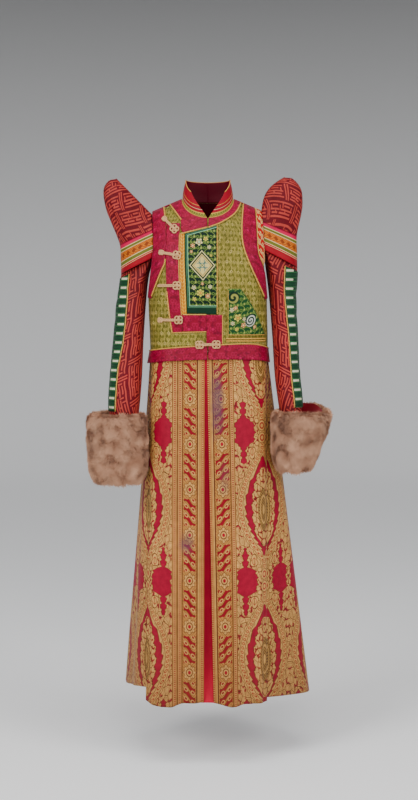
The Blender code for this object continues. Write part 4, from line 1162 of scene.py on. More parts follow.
# Creases in the lower sleeves: x runs round the sleeve and z down it, both in metres
ARM_CREASES = rows(Crease, [
    (-0.080, -0.050, 0.030, -0.105, 0.011, -0.0024),
    (0.010, -0.075, 0.095, -0.040, 0.010, 0.0020),
    (-0.020, -0.150, 0.090, -0.185, 0.013, -0.0022),
    (-0.110, -0.170, -0.030, -0.230, 0.012, 0.0020),
    (0.020, -0.250, 0.110, -0.215, 0.011, -0.0020),
    (-0.070, -0.270, 0.020, -0.325, 0.012, -0.0022),
    (-0.010, -0.330, 0.090, -0.300, 0.010, 0.0018),
    (-0.100, -0.340, -0.020, -0.385, 0.010, 0.0018),
    (0.030, -0.390, 0.120, -0.360, 0.010, -0.0018),
])
Gather = namedtuple("Gather", "around width depth reach")
CAP_GATHERS = rows(Gather, [
    (-0.78, 0.07, -0.0026, 0.95),
    (-0.52, 0.08, 0.0030, 0.80),
    (-0.30, 0.06, -0.0028, 0.70),
    (-0.08, 0.07, 0.0022, 0.55),
    (0.14, 0.06, -0.0024, 0.75),
    (0.36, 0.08, 0.0030, 0.90),
    (0.60, 0.07, -0.0028, 0.80),
    (0.82, 0.06, 0.0022, 0.95),
])


def gather_height(around, t):
    total = 0.0
    for gather in CAP_GATHERS:
        held = math.sin(math.pi * min(max(t, 0.0), 1.0)) ** 0.5
        fade = max(1 - abs(t - 0.55) / gather.reach, 0.0) * held
        total += gather.depth * math.exp(-((around - gather.around) / gather.width) ** 2) * fade
    return total


def cap_point(cap, side, around, t):
    """A point of the open upper sleeve: around runs from -1 at the front seam to 1 at the back.

    Above t = 0 its front and back roll inward and meet along the crest.
    """
    seam_z = read_table(cap, "seam_z", t)
    outer_x = read_table(cap, "outer_x", t)
    outer_z = read_table(cap, "outer_z", t)
    seam_x = read_table(ARMHOLE, side_name(side), seam_z) + SLEEVE_STAND_OFF
    reach = math.cos(around * math.pi / 2)
    spread = abs(math.sin(around * math.pi / 2))
    bow = read_table(cap, "bow", t) * math.sin(math.pi * reach)
    ease = gather_height(around, t) if t < 1 else 0.0
    x = mix(seam_x, outer_x + ease, reach) - bow
    z = mix(seam_z, outer_z, reach) + bow * 0.6
    face = -1 if around < 0 else 1
    seam_y = body_y(side * (seam_x - SLEEVE_STAND_OFF), seam_z, face) * 0.97
    crown = read_table(cap, "bulge", t) * math.sin(math.pi * spread) ** 0.7
    y = mix(SHOULDER_Y * (1 - min(t, 1)), seam_y, spread) + face * (crown + ease * min(4 * spread, 1))
    if t < 0:
        closed = t / CREST_START
        y = mix(y, SHOULDER_Y, closed)
        z += CREST_ROLL * math.sin(closed * math.pi / 2)
    return Vector((side * x, y, z))


def arm_point(arm, side, turn, t, lift=0.0):
    """A point of the sleeve tube: turn is 0 at its outer side and grows towards the front."""
    get = {name: read_table(arm, name, t) for name in ArmRow._fields[1:]}
    ease = crease_height(ARM_CREASES, turn * 0.05, -0.45 * t) * min(t / 0.08, (1 - t) / 0.06, 1.0)
    lift += ease
    chord_x = mix(get["inner_x"], get["outer_x"], get["chord"])
    chord_z = mix(get["inner_z"], get["outer_z"], get["chord"])
    reach = math.cos(turn)
    far_x = get["outer_x"] + lift if reach > 0 else get["inner_x"] - lift
    far_z = get["outer_z"] if reach > 0 else get["inner_z"]
    x = mix(chord_x, far_x, abs(reach))
    z = mix(chord_z, far_z, abs(reach))
    swell = math.sin(turn)
    y = get["middle_y"] - (get["depth"] + lift) * math.copysign(abs(swell) ** 0.9, swell)
    return Vector((side * x, y, z))


def fret_cloth(name, slant):
    """Dark red silk woven with salmon key frets: long bars, combs and hooks, turned by a slant."""
    silk = Silk(name, (96, 10, 24), roughness=0.5)
    cosine, sine = math.cos(math.radians(slant)), math.sin(math.radians(slant))
    along_x = silk.across * cosine + silk.down * sine
    along_y = silk.down * cosine - silk.across * sine
    unit = 0.0036
    wide, tall = 12, 30
    odd = along_x.row_number(wide * unit).join("FLOORED_MODULO", 2.0)
    x = along_x.repeat(wide * unit) * (1 / unit) + wide / 2
    y = (along_y + x * (unit * 0.45) + odd * (tall * unit / 2)).repeat(tall * unit) * (1 / unit) + tall / 2
    bars = [
        (0.0, 12.0, 0.0, 1.0), (0.0, 12.0, 2.0, 3.0),
        (1.0, 2.0, 4.0, 28.5), (3.0, 4.0, 5.0, 12.0), (3.0, 4.0, 14.0, 27.0),
        (5.0, 6.0, 4.0, 14.0), (5.0, 6.0, 16.0, 28.5), (9.5, 10.5, 4.0, 28.5),
        (5.0, 8.2, 4.5, 5.5), (7.4, 8.4, 6.5, 12.5), (5.0, 8.2, 14.5, 15.5),
        (6.5, 9.8, 17.5, 18.5), (7.4, 8.4, 19.5, 25.5), (5.4, 8.4, 26.6, 27.6),
        (3.4, 5.4, 9.5, 10.5), (3.4, 5.4, 20.5, 21.5),
    ]
    total = None
    for low_x, high_x, low_y, high_y in bars:
        bar = x.within(low_x, high_x, 0.2) * y.within(low_y, high_y, 0.2)
        total = bar if total is None else total.highest(bar)
    silk.lay(total, (184, 78, 66), 0.9)
    silk.lay(total * abs(silk.across.repeat(0.0009)).below(0.00022), (168, 58, 56))
    silk.shade(0.3, 30.0, 3.0, 5.0)
    silk.shade(0.25, 7.0, 2.0, 6.0)
    return silk.finish()


def armband_ribbons():
    """Ribbons sewn side by side: pink, olive, orange-brown brocade, olive and red, with cream edges."""
    silk = Silk("armband_stripes", (184, 26, 70), roughness=0.5)
    cream, olive = (226, 206, 158), (104, 106, 48)
    ribbon_stripes(silk, [
        (-0.0010, 0.0022, (128, 10, 44), 0.0),
        (0.0120, 0.0140, cream, 0.8),
        (0.0140, 0.0212, olive, 0.2),
        (0.0212, 0.0230, cream, 0.8),
        (0.0230, 0.0470, (176, 88, 36), 0.2),
        (0.0470, 0.0490, cream, 0.8),
        (0.0490, 0.0585, olive, 0.2),
        (0.0585, 0.0603, cream, 0.8),
        (0.0603, 0.0640, (176, 26, 36), 0.2),
        (0.0640, 0.0652, cream, 0.6),
        (0.0652, 0.0950, (150, 14, 36), 0.0),
    ])
    lozenge = (abs(silk.across.repeat(0.019)) + abs(silk.down - 0.0350)).below(0.0074)
    leaf = abs((silk.across + abs(silk.down - 0.0350) * 1.4).repeat(0.0095)).below(0.0013)
    silk.lay(leaf * silk.down.within(0.0236, 0.0464), (208, 132, 62), 0.4)
    silk.lay(lozenge, (132, 62, 30), 0.3)
    silk.shade(0.28, 45.0, 3.0, 3.0)
    return silk.finish()


def barred_green():
    """Dark green silk strip crossed by short cream bars, with a cream cord along its front edge."""
    silk = Silk("barred_strip", (26, 64, 40), roughness=0.5)
    pitch = 0.0242
    y = silk.down.repeat(pitch, 0.012)
    bar = abs(y).below(0.0027) * silk.across.within(0.0040, 0.0290)
    rib = abs(silk.down.repeat(pitch / 3, 0.004)).below(0.0008)
    silk.lay(rib, (20, 48, 32), -0.3)
    silk.lay(abs(abs(y) - 0.0048).below(0.0010), (60, 104, 66), 0.3)
    silk.lay(bar, (222, 222, 190), 0.9)
    silk.shade(0.35, 40.0, 3.0, 2.0)
    return silk.finish()


FRET_STRAIGHT = fret_cloth("fret_cloth", 0)
FRET_SLANTED = fret_cloth("fret_cloth_cap", -34)
ARMBAND = armband_ribbons()
BARRED = barred_green()
StripRow = namedtuple("StripRow", "t front")
STRIP_FRONT = {
    -1: [StripRow(0.0, 50), StripRow(0.1, 59), StripRow(0.25, 70), StripRow(0.5, 74), StripRow(0.75, 62),
         StripRow(1.0, 60)],
    1: [StripRow(0.0, 57), StripRow(0.1, 68), StripRow(0.25, 76), StripRow(0.5, 77), StripRow(1.0, 74)],
}
STRIP_BACK = math.radians(-28)


def sleeve(side, word, cap, arm):
    def cap_place(first, last):
        return lambda u, v: cap_point(cap, side, mix(-1, 1, u), mix(first, last, v))

    def tube(u, v):
        return arm_point(arm, side, mix(-math.pi, math.pi, u), v)

    def strip(u, v, lift=STRIP_LIFT):
        front = math.radians(read_table(STRIP_FRONT[side], "front", v))
        return arm_point(arm, side, mix(front, STRIP_BACK, u), mix(0.03, 0.955, v), lift)

    puff = add_cloth("sleeve_cap_" + word, 96, 56, cap_place(CREST_START, 0.994), CLOTH, FRET_SLANTED,
                     axis=None, lining=LINING)
    worn_piece(puff, "sleeve_puff_" + word, ["bodice_silk_front_" + word], 1.25)
    band = add_cloth("sleeve_ribbons_" + word, 80, 16, cap_place(1.0, 2.0), CLOTH, ARMBAND, axis=None,
                     lining=LINING)
    worn_piece(band, "armband_" + word, [puff])
    lower = add_cloth("sleeve_tube_" + word, 96, 96, tube, CLOTH, FRET_STRAIGHT, closed=True, axis=None,
                      lining=LINING, level=True)
    worn_piece(lower, "sleeve_" + word, [band])
    strap = add_cloth("sleeve_bars_" + word, 30, 96, strip, TRIM_CLOTH, BARRED, axis=None, level=True)
    worn_piece(strap, "sleeve_strip_" + word, [lower])
    front_edge = [strip(0.0, v / 80, STRIP_LIFT - 0.0006) for v in range(81)]
    gold_cord("sleeve_" + word, front_edge, 0.0014)


sleeve(-1, "left", LEFT_CAP, LEFT_ARM)
sleeve(1, "right", RIGHT_CAP, RIGHT_ARM)

# The cuffs: deep turned-back rolls of soft brown fur, open at both ends. The right one flares and shows
# the sleeve's crimson silk lining inside its rim.
CuffRow = namedtuple("CuffRow", "t drop shift half_width half_depth")
LEFT_CUFF = rows(CuffRow, [
    (0.00, 0.000, 0.000, 0.064, 0.066),
    (0.08, 0.008, -0.002, 0.073, 0.074),
    (0.20, 0.045, -0.002, 0.0765, 0.077),
    (0.32, 0.100, 0.000, 0.0765, 0.077),
    (0.44, 0.150, 0.001, 0.074, 0.074),
    (0.52, 0.176, 0.002, 0.064, 0.066),
    (0.60, 0.180, 0.003, 0.052, 0.056),
    (0.68, 0.160, 0.004, 0.042, 0.050),
    (0.80, 0.080, 0.010, 0.0385, 0.052),
    (0.90, 0.030, 0.008, 0.046, 0.0605),
    (1.00, 0.003, 0.002, 0.057, 0.0625),
])
RIGHT_CUFF = rows(CuffRow, [
    (0.00, 0.000, 0.006, 0.066, 0.066),
    (0.08, 0.006, 0.006, 0.0745, 0.073),
    (0.20, 0.030, 0.002, 0.0740, 0.075),
    (0.32, 0.080, -0.006, 0.064, 0.070),
    (0.44, 0.125, -0.013, 0.055, 0.064),
    (0.52, 0.152, -0.015, 0.044, 0.056),
    (0.60, 0.154, -0.016, 0.035, 0.048),
    (0.68, 0.130, -0.018, 0.031, 0.046),
    (0.80, 0.060, -0.021, 0.030, 0.050),
    (0.90, 0.025, -0.009, 0.048, 0.059),
    (1.00, 0.003, 0.004, 0.061, 0.063),
])
CUFF_TOP_LEFT = Vector((-0.2385, -0.090, -0.552))
CUFF_TOP_RIGHT = Vector((0.2430, -0.088, -0.546))
RIM_DEPTH = 0.06
RIM_RISE_LEFT = 0.005
RIM_RISE_RIGHT = 0.024
LINING_CLEAR = 0.0023
FUR_LENGTH = 0.021
FUR_SPOKES = 96
FUR_STEPS = 64
FUR_OUTSIDE = 0.62


def cuff_value(cuff, field, t):
    """A column of a cuff's closed section, on a smooth curve that joins its two ends."""
    closing = cuff[0]._replace(t=1.10)
    return read_table([*cuff, closing], field, t * 1.10)


def cuff_point(top, cuff, rise, turn, t, inset=0.0):
    """A point of a cuff: turn is 0 at its right side and grows to the back, t runs round its section."""
    row = {field: cuff_value(cuff, field, t) for field in CuffRow._fields[1:]}
    x = top.x + row["shift"] + (row["half_width"] - inset) * math.cos(turn)
    y = top.y + (row["half_depth"] - inset) * math.sin(turn)
    outward = math.copysign(1.0, top.x) * math.cos(turn)
    share = max(math.sin(turn), 0.0) * math.sqrt(0.5 + 0.5 * outward)
    lifted = rise * share * max(1 - row["drop"] / RIM_DEPTH, 0.0)
    return Vector((x, y, top.z - row["drop"] + lifted))


def fur_skin(name, dark, light):
    """Skin and hair of the fur: brown, uneven, paler at the tips of its locks."""
    material = bpy.data.materials.new(name)
    material.use_nodes = True
    tree = material.node_tree
    shader = tree.nodes["Principled BSDF"]
    shader.inputs["Roughness"].default_value = 0.75
    shader.inputs["Specular IOR Level"].default_value = 0.2
    shader.inputs["Sheen Weight"].default_value = 0.10
    place = tree.nodes.new("ShaderNodeTexCoord")
    locks = tree.nodes.new("ShaderNodeTexNoise")
    locks.inputs["Scale"].default_value = 30.0
    locks.inputs["Detail"].default_value = 4.0
    tree.links.new(place.outputs["Object"], locks.inputs["Vector"])
    ramp = tree.nodes.new("ShaderNodeValToRGB")
    ramp.color_ramp.elements[0].position = 0.30
    ramp.color_ramp.elements[0].color = linear(*dark)
    ramp.color_ramp.elements[1].position = 0.72
    ramp.color_ramp.elements[1].color = linear(*light)
    tree.links.new(locks.outputs["Fac"], ramp.inputs["Fac"])
    tree.links.new(ramp.outputs["Color"], shader.inputs["Base Color"])
    return material


def fur_roll(name, node, top, cuff, rise, seed):
    """The cuff's body: a closed roll with soft lumps, a little inside the reach of its hair."""
    spokes, steps = FUR_SPOKES, FUR_STEPS
    points = []
    for step in range(steps):
        for spoke in range(spokes):
            turn = 2 * math.pi * spoke / spokes
            t = step / steps
            point = cuff_point(top, cuff, rise, turn, t)
            ahead = cuff_point(top, cuff, rise, turn + 0.03, t) - point
            below = cuff_point(top, cuff, rise, turn, (t + 0.01) % 1.0) - point
            outward = ahead.cross(below).normalized() * -1
            lump = noise(point * 24 + Vector((seed, 0, 0))) * 0.0032 + noise(point * 66) * 0.0018
            outer = 1.0 if t < FUR_OUTSIDE else 0.35
            points.append(point - outward * 0.0035 * outer + outward * lump * outer)
    faces = []
    for step in range(steps):
        for spoke in range(spokes):
            after = (spoke + 1) % spokes
            low = (step + 1) % steps
            faces.append((step * spokes + spoke, low * spokes + spoke, low * spokes + after,
                          step * spokes + after))
    roll = add_mesh(name, points, faces, FUR_SKIN)
    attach(roll, "root")
    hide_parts(node)
    return roll


def fur_hair(name, roll, count, seed):
    """Short curved hairs rooted all over the outside of the roll, leaning down and into locks."""
    random = np.random.default_rng(seed)
    areas = np.array([face.area for face in roll.data.polygons])
    centres = np.array([tuple(face.center) for face in roll.data.polygons])
    normals = np.array([tuple(face.normal) for face in roll.data.polygons])
    part = np.arange(len(areas)) // FUR_SPOKES / FUR_STEPS
    weight = areas * np.where(part < 0.60, 1.0, np.where(part > 0.90, 0.9, 0.12))
    chosen = random.choice(len(areas), size=count, p=weight / weight.sum())
    reach = np.sqrt(areas[chosen])[:, None]
    root = centres[chosen] + random.normal(0, 0.5, (count, 3)) * reach
    normal = normals[chosen]
    root -= normal * ((root - centres[chosen]) * normal).sum(axis=1)[:, None]
    locks = np.array([[noise(Vector(p * 38)), noise(Vector(p * 38 + 9)), noise(Vector(p * 38 + 21))]
                      for p in root])
    lean = locks * 1.3 + random.normal(0, 0.28, (count, 3)) + np.array([0, 0, -0.55])
    lean -= normal * (lean * normal).sum(axis=1)[:, None]
    size = FUR_LENGTH * random.uniform(0.55, 1.0, count)[:, None]
    size *= np.where(part[chosen] < FUR_OUTSIDE, 1.0, 0.55)[:, None]
    knee = root + (normal * 0.62 + lean * 0.28) * size * 0.55
    tip = knee + (normal * 0.30 + lean * 0.62) * size * 0.62
    side = np.cross(normal, lean)
    side /= np.linalg.norm(side, axis=1)[:, None] + 1e-9
    width = random.uniform(0.0005, 0.0010, count)[:, None]
    root = root - normal * 0.001
    points = np.stack([root - side * width, root + side * width, knee + side * width * 0.7,
                       knee - side * width * 0.7, tip], axis=1).reshape(-1, 3)
    first = np.arange(count)[:, None] * 5
    quads = first + np.array([[0, 1, 2, 3]])
    tips = first + np.array([[3, 2, 4]])
    hair = add_mesh(name, points.tolist(), quads.tolist() + tips.tolist(), FUR_HAIR)
    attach(hair, "root")


FUR_SKIN = fur_skin("fur_skin", (146, 102, 78), (170, 126, 98))
FUR_HAIR = fur_skin("fur_hair", (170, 122, 94), (212, 166, 134))
HAIR_COUNT = 52000
for word, top, cuff, rise, seed in (("left", CUFF_TOP_LEFT, LEFT_CUFF, RIM_RISE_LEFT, 3),
                                    ("right", CUFF_TOP_RIGHT, RIGHT_CUFF, RIM_RISE_RIGHT, 8)):
    roll = fur_roll("fur_cuff_" + word, "cuff_" + word, top, cuff, rise, seed)
    fur_hair("fur_hair_" + word, roll, HAIR_COUNT, seed)

crimson_silk = Silk("cuff_lining_silk", (118, 8, 30), roughness=0.38, sheen=0.15)
crimson_silk.shade(0.3, 30.0, 3.0, 5.0)
CRIMSON_SILK = crimson_silk.finish()


def cuff_lining(u, v):
    turn = math.radians(mix(-60, 112, u))
    point = cuff_point(CUFF_TOP_RIGHT, RIGHT_CUFF, RIM_RISE_RIGHT, turn, mix(0.905, 0.815, v), LINING_CLEAR)
    ripple = 0.0008 * math.sin(u * 23) * (1 - v)
    return point + Vector((0, 0, (0.006 * max(math.sin(turn), 0.0) + ripple) * (1 - v)))


lining = add_cloth("cuff_silk_right", 60, 16, cuff_lining, 0.0012, CRIMSON_SILK,
                   axis=(CUFF_TOP_RIGHT.x, CUFF_TOP_RIGHT.y))
worn_piece(lining, "cuff_lining_right", ["fur_cuff_right"])

# The waist band: a band of magenta damask over the seam of bodice and skirt, open at the centre front,
# with gold cord along its upper edge.
WaistRow = namedtuple("WaistRow", "turn top bottom")
WAIST = rows(WaistRow, [
    (-180, -0.384, -0.424),
    (-90, -0.387, -0.421),
    (-45, -0.379, -0.413),
    (0, -0.371, -0.408),
    (45, -0.367, -0.409),
    (90, -0.381, -0.419),
    (180, -0.384, -0.424),
])
WAIST_FLARE = 0.006


def round_point(turn, z, lift):
    """A point on the waist's section: turn is 0 at the front and grows to the right, in degrees."""
    def on_section(degrees):
        part = math.sin(math.radians(degrees))
        face = -1 if abs(degrees) <= 90 else 1
        x = half_width(part, z) * part
        depth = read_table(TORSO, "front" if face < 0 else "back", z)
        y = face * (depth * (1 - min(abs(part), 1.0) ** CHEST_POWER) ** (1 / CHEST_POWER) + SIDE_GAP)
        return Vector((x, y, z))

    step = 1.0
    ahead = on_section(turn + step) - on_section(turn - step)
    outward = Vector((-ahead.y, ahead.x, 0)).normalized() * -1
    return on_section(turn) + outward * lift


def waist_band(first, last):
    def place(u, v):
        turn = mix(first, last, u)
        z = mix(read_table(WAIST, "top", turn), read_table(WAIST, "bottom", turn), v)
        wave = 0.0009 * math.sin(turn * 0.13) * v + 0.0006 * math.sin(turn * 0.31 + 2) * v
        return round_point(turn, z, ON_BODY + WAIST_FLARE * v + max(wave, -0.0012 * v))
    return place


WAIST_PIECES = [
    ("front_left", -89.4, -0.5),
    ("front_right", 0.5, 89.4),
    ("back_left", -179.7, -90.6),
    ("back_right", 90.6, 179.7),
]
for word, first, last in WAIST_PIECES:
    place = waist_band(first, last)
    band = add_cloth("waist_damask_" + word, 70, 10, place, TRIM_CLOTH, MAGENTA_DAMASK)
    under = "bodice_silk_back" if "back" in word else "bodice_silk_" + word
    worn_piece(band, "waist_" + word, [under])
    gold_cord("waist_" + word, [place(step / 60, 0.0) for step in range(61)], 0.0016)

# The skirt: two front panels that part at the centre, sides and back, of gold figured brocade on crimson
# silk, hung from the waist seam in soft uneven folds. A crimson strip shows in the parting.
SKIRT_TOP_Z = -0.3927
HEM_Z = -1.297
HemPoint = namedtuple("HemPoint", "u turn x y z")
FRONT_LEFT_HEM = rows(HemPoint, [
    (0.00, -3.2, -0.0105, -0.204, HEM_Z),
    (0.15, -14.0, -0.0340, -0.206, -1.300),
    (0.35, -29.0, -0.0660, -0.203, -1.300),
    (0.55, -44.0, -0.0960, -0.205, -1.3115),
    (0.75, -59.0, -0.1240, -0.199, -1.3105),
    (0.90, -70.0, -0.1480, -0.193, -1.303),
    (1.00, -78.0, -0.1625, -0.183, -1.297),
])
FRONT_RIGHT_HEM = rows(HemPoint, [
    (0.00, -1.0, 0.0150, -0.204, -1.299),
    (0.15, 13.0, 0.0360, -0.208, -1.303),
    (0.35, 29.0, 0.0680, -0.206, -1.3105),
    (0.55, 44.0, 0.0960, -0.203, -1.304),
    (0.75, 58.0, 0.1210, -0.201, -1.301),
    (0.90, 69.0, 0.1430, -0.194, -1.300),
    (1.00, 78.0, 0.1550, -0.184, -1.298),
])
SIDE_BACK_HEM = rows(HemPoint, [
    (0.00, -68.0, -0.1360, -0.160, -1.272),
    (0.05, -78.0, -0.1730, -0.130, -1.274),
    (0.11, -85.0, -0.2040, -0.080, -1.282),
    (0.17, -91.0, -0.2190, -0.018, -1.291),
    (0.24, -98.0, -0.2120, 0.048, -1.295),
    (0.32, -110.0, -0.1760, 0.118, -1.296),
    (0.41, -138.0, -0.1030, 0.170, -1.296),
    (0.50, -180.0, 0.0050, 0.190, -1.297),
    (0.59, -222.0, 0.1160, 0.182, -1.298),
    (0.68, -250.0, 0.2050, 0.140, -1.301),
    (0.76, -262.0, 0.2600, 0.076, -1.305),
    (0.83, -269.0, 0.2770, 0.002, -1.308),
    (0.89, -275.0, 0.2570, -0.064, -1.306),
    (0.95, -282.0, 0.2040, -0.118, -1.301),
    (1.00, -292.0, 0.1420, -0.162, -1.296),
])
# Folds as soft ridges and troughs: place along the hem, width, depth, and the height where each begins
Fold = namedtuple("Fold", "u spread depth start drift")
FRONT_LEFT_FOLDS = rows(Fold, [
    (0.30, 0.10, 0.004, 0.35, 0.0),
    (0.62, 0.09, -0.005, 0.20, 0.0),
    (0.86, 0.07, 0.006, 0.10, 0.0),
    (0.47, 0.035, -0.0022, 0.05, 0.06),
    (0.74, 0.026, 0.0020, 0.30, -0.05),
])
FRONT_RIGHT_FOLDS = rows(Fold, [
    (0.24, 0.09, 0.004, 0.30, 0.0),
    (0.52, 0.10, -0.005, 0.25, 0.0),
    (0.83, 0.08, 0.007, 0.08, 0.0),
    (0.36, 0.030, -0.0021, 0.12, -0.04),
    (0.67, 0.034, 0.0024, 0.02, 0.07),
    (0.92, 0.022, -0.0020, 0.34, -0.03),
])
SIDE_BACK_FOLDS = rows(Fold, [
    (0.13, 0.025, -0.007, 0.15, 0.0),
    (0.23, 0.035, 0.011, 0.20, 0.0),
    (0.34, 0.032, -0.010, 0.12, 0.0),
    (0.45, 0.038, 0.012, 0.22, 0.0),
    (0.55, 0.034, -0.011, 0.10, 0.0),
    (0.66, 0.036, 0.010, 0.18, 0.0),
    (0.78, 0.030, -0.009, 0.15, 0.0),
    (0.88, 0.026, 0.007, 0.25, 0.0),
    (0.18, 0.010, 0.0024, 0.05, 0.012),
    (0.40, 0.012, -0.0026, 0.30, -0.015),
    (0.50, 0.010, 0.0022, 0.02, 0.010),
    (0.61, 0.013, -0.0028, 0.24, 0.014),
    (0.72, 0.009, 0.0023, 0.08, -0.010),
    (0.84, 0.010, -0.0020, 0.36, 0.008),
])
TUCK = 0.0046
LAP_SHARE = 0.10
STRIP_INSET = 0.0026


def fold_depth(folds, u, v):
    """How far the cloth stands out of its plain line, from soft ridges and troughs that grow downward."""
    total = 0.0
    for fold in folds:
        grown = min(max((v - fold.start) / (1 - fold.start), 0.0), 1.0)
        across = (u - fold.u - fold.drift * (1 - v)) / fold.spread
        total += fold.depth * math.exp(-across * across) * grown * grown * (3 - 2 * grown)
    return total


def skirt_point(hem, folds, u, v, inset=0.0):
    """A point of a skirt panel: u along its hem, v from 0 at the waist to 1 at the hem."""
    get = {name: read_table(hem, name, u) for name in HemPoint._fields[1:]}
    turn = get["turn"] if get["turn"] >= -180 else get["turn"] + 360
    top = round_point(turn, SKIRT_TOP_Z, -inset)
    low = Vector((get["x"], get["y"], get["z"]))
    point = top.lerp(low, v)
    outward = Vector((point.x * 0.7, point.y, 0)).normalized()
    return point + outward * fold_depth(folds, u, v)


PALE_GOLD = (208, 160, 102)
WOVEN_GOLD = (180, 128, 76)
OUTLINE_BROWN = (84, 38, 24)
SILK_CRIMSON = (150, 4, 48)
HOLLOW_RED = (150, 12, 40)
OGEE_WIDE = 0.172
OGEE_TALL = 0.392
OGEE_CENTRE = 0.404
BROCADE_LENGTH = 0.91
HEM_DARKENING_HEIGHT = 0.260


def outlined(silk, shape, outer, inner, raised=0.5, mask=None, edge_raised=0.0):
    """A gold figure with a brown outline: brown where the shape is under outer, gold where under inner."""
    for limit, colour, height in ((outer, OUTLINE_BROWN, edge_raised), (inner, PALE_GOLD, raised)):
        part = shape.below(limit)
        silk.lay(mask * part if mask else part, colour, height)


def leaf_cells(silk, across, down, size, seed):
    """Distance to the nearest edge between leaves of about one size, crowded like foliage."""
    place = silk.tree.nodes.new("ShaderNodeCombineXYZ")
    sway = (silk.speckle(40.0, 2.0, seed) - 0.5) * 0.012
    silk.tree.links.new(((across + sway) * 1.25).socket, place.inputs["X"])
    silk.tree.links.new((down + across * 0.5 - sway).socket, place.inputs["Y"])
    cells = silk.tree.nodes.new("ShaderNodeTexVoronoi")
    cells.voronoi_dimensions = "2D"
    cells.feature = "DISTANCE_TO_EDGE"
    cells.inputs["Scale"].default_value = 1 / size
    cells.inputs["Randomness"].default_value = 0.75
    silk.tree.links.new(place.outputs["Vector"], cells.inputs["Vector"])
    return Figure(silk.tree, cells.outputs["Distance"]) * size


def serrated_palmette(silk, wide, y):
    """A tall palmette of lobed leaves with a netted heart, standing on the axis of its frame."""
    lobe = (y - 0.004) / 0.104
    body = (1.0 - lobe * lobe).highest(0.0).join("POWER", 0.60) * 0.0330
    slanting = silk.down + wide * 0.9
    scallop = abs(slanting.wave(0.0620)) * 0.0060 + slanting.wave(0.0103) * 0.0010
    leafy = wide - body - scallop + 0.0020
    within = (abs(y - 0.004) - 0.104).below(0.0)
    outlined(silk, leafy, 0.0012, -0.0006, 0.6, within, 0.2)
    inner = leafy.below(-0.0030) * within
    cells = leaf_cells(silk, wide, y, 0.0150, 9.0)
    silk.lay(inner * cells.below(0.0026) * silk.speckle(70.0, 2.0, 15.0).below(0.47, 0.04), HOLLOW_RED)
    silk.lay(inner * cells.below(0.0008), OUTLINE_BROWN, -0.4)
    heart = length_of(wide * 2.3, (y - 0.010) * 0.78)
    silk.lay(heart.below(0.0440) * within, OUTLINE_BROWN)
    silk.lay(heart.below(0.0424) * within, (158, 124, 74), 0.2)
    net = abs((silk.down + wide).repeat(0.0080)).lowest(abs((silk.down - wide).repeat(0.0080)))
    silk.lay(heart.below(0.0410) * net.below(0.0009), OUTLINE_BROWN, -0.3)
    silk.lay(abs(heart - 0.0280).below(0.0022), PALE_GOLD, 0.5)
    silk.lay(heart.below(0.0100), PALE_GOLD, 0.5)


def ogee_field(silk, axis):
    """Woven ogee frames with a palmette in each; leaves, buds and red hollows lie between them."""
    x = silk.across.repeat(OGEE_WIDE, axis)
    y = silk.down.repeat(OGEE_TALL, OGEE_CENTRE)
    wide = abs(x)
    high = abs(y)
    far = OGEE_TALL / 2 - high
    reach = high.lowest(0.148).wave(0.592) * 0.0660 + 0.0020
    half = 0.0108
    off = wide - reach
    outside = (off * -1.0).below(0.0)
    ragged = silk.down.wave(0.0190) * 0.0022 + silk.down.wave(0.0087) * 0.0012
    waist = ((0.0440 - far) * 1.5).lowest(0.0270)
    neck = ((0.0900 - far) * 0.5).lowest(0.0075)
    leafage = waist.highest(neck) + ragged - abs(wide - 0.0500 - far.lowest(0.0400) * 0.16)
    outlined(silk, leafage, 0.0012, -0.0006, mask=outside)
    foliage = outside * leafage.below(-0.0022)
    cells = leaf_cells(silk, wide, y, 0.0185, 3.0)
    silk.lay(foliage * cells.below(0.0034) * silk.speckle(62.0, 2.0, 11.0).below(0.46, 0.04), SILK_CRIMSON)
    silk.lay(foliage * abs(cells - 0.0046).below(0.0005), (150, 96, 62), -0.2)
    silk.lay(foliage * cells.below(0.0009), OUTLINE_BROWN, -0.4)
    bud = length_of((wide - 0.0330) * 1.25, (far - 0.0520) * 0.72)
    notch = lobes(angle_of(wide - 0.0330, far - 0.0520), 3.0) * 0.0022
    outlined(silk, bud - notch, 0.0122, 0.0106, mask=outside)
    silk.lay(outside * abs(wide - 0.0330).below(0.0008) * bud.below(0.0080), OUTLINE_BROWN, -0.3)
    silk.lay(outside * abs(bud - 0.0062).below(0.0007), HOLLOW_RED, -0.2)
    band = abs(off) - half
    outlined(silk, band - silk.down.wave(0.0150) * 0.0014, 0.0014, 0.0, 0.6)
    silk.lay(abs(band + 0.0040).below(0.0008), OUTLINE_BROWN, -0.3)
    bead = length_of(off, (silk.down + wide * 0.5).repeat(0.0120))
    silk.lay(bead.below(0.0042), (142, 30, 34), -0.2)
    silk.lay(bead.below(0.0022), PALE_GOLD, 0.5)
    leaf_row = (silk.down - wide * 0.9).repeat(0.0260) * 0.20
    fringe = 0.0 - (off + half + 0.0030 + leaf_row)
    tongue = (off + half).below(0.0) * high.below(0.118)
    outlined(silk, fringe, 0.0012, -0.0004, mask=tongue)
    serrated_palmette(silk, wide, y)
    knot = length_of(wide, far - 0.016)
    outlined(silk, knot, 0.0150, 0.0136, 0.6)
    silk.lay(abs(knot - 0.0072).below(0.0018), HOLLOW_RED)
    outlined(silk, length_of(wide - 0.0180, far - 0.0300), 0.0068, 0.0055)


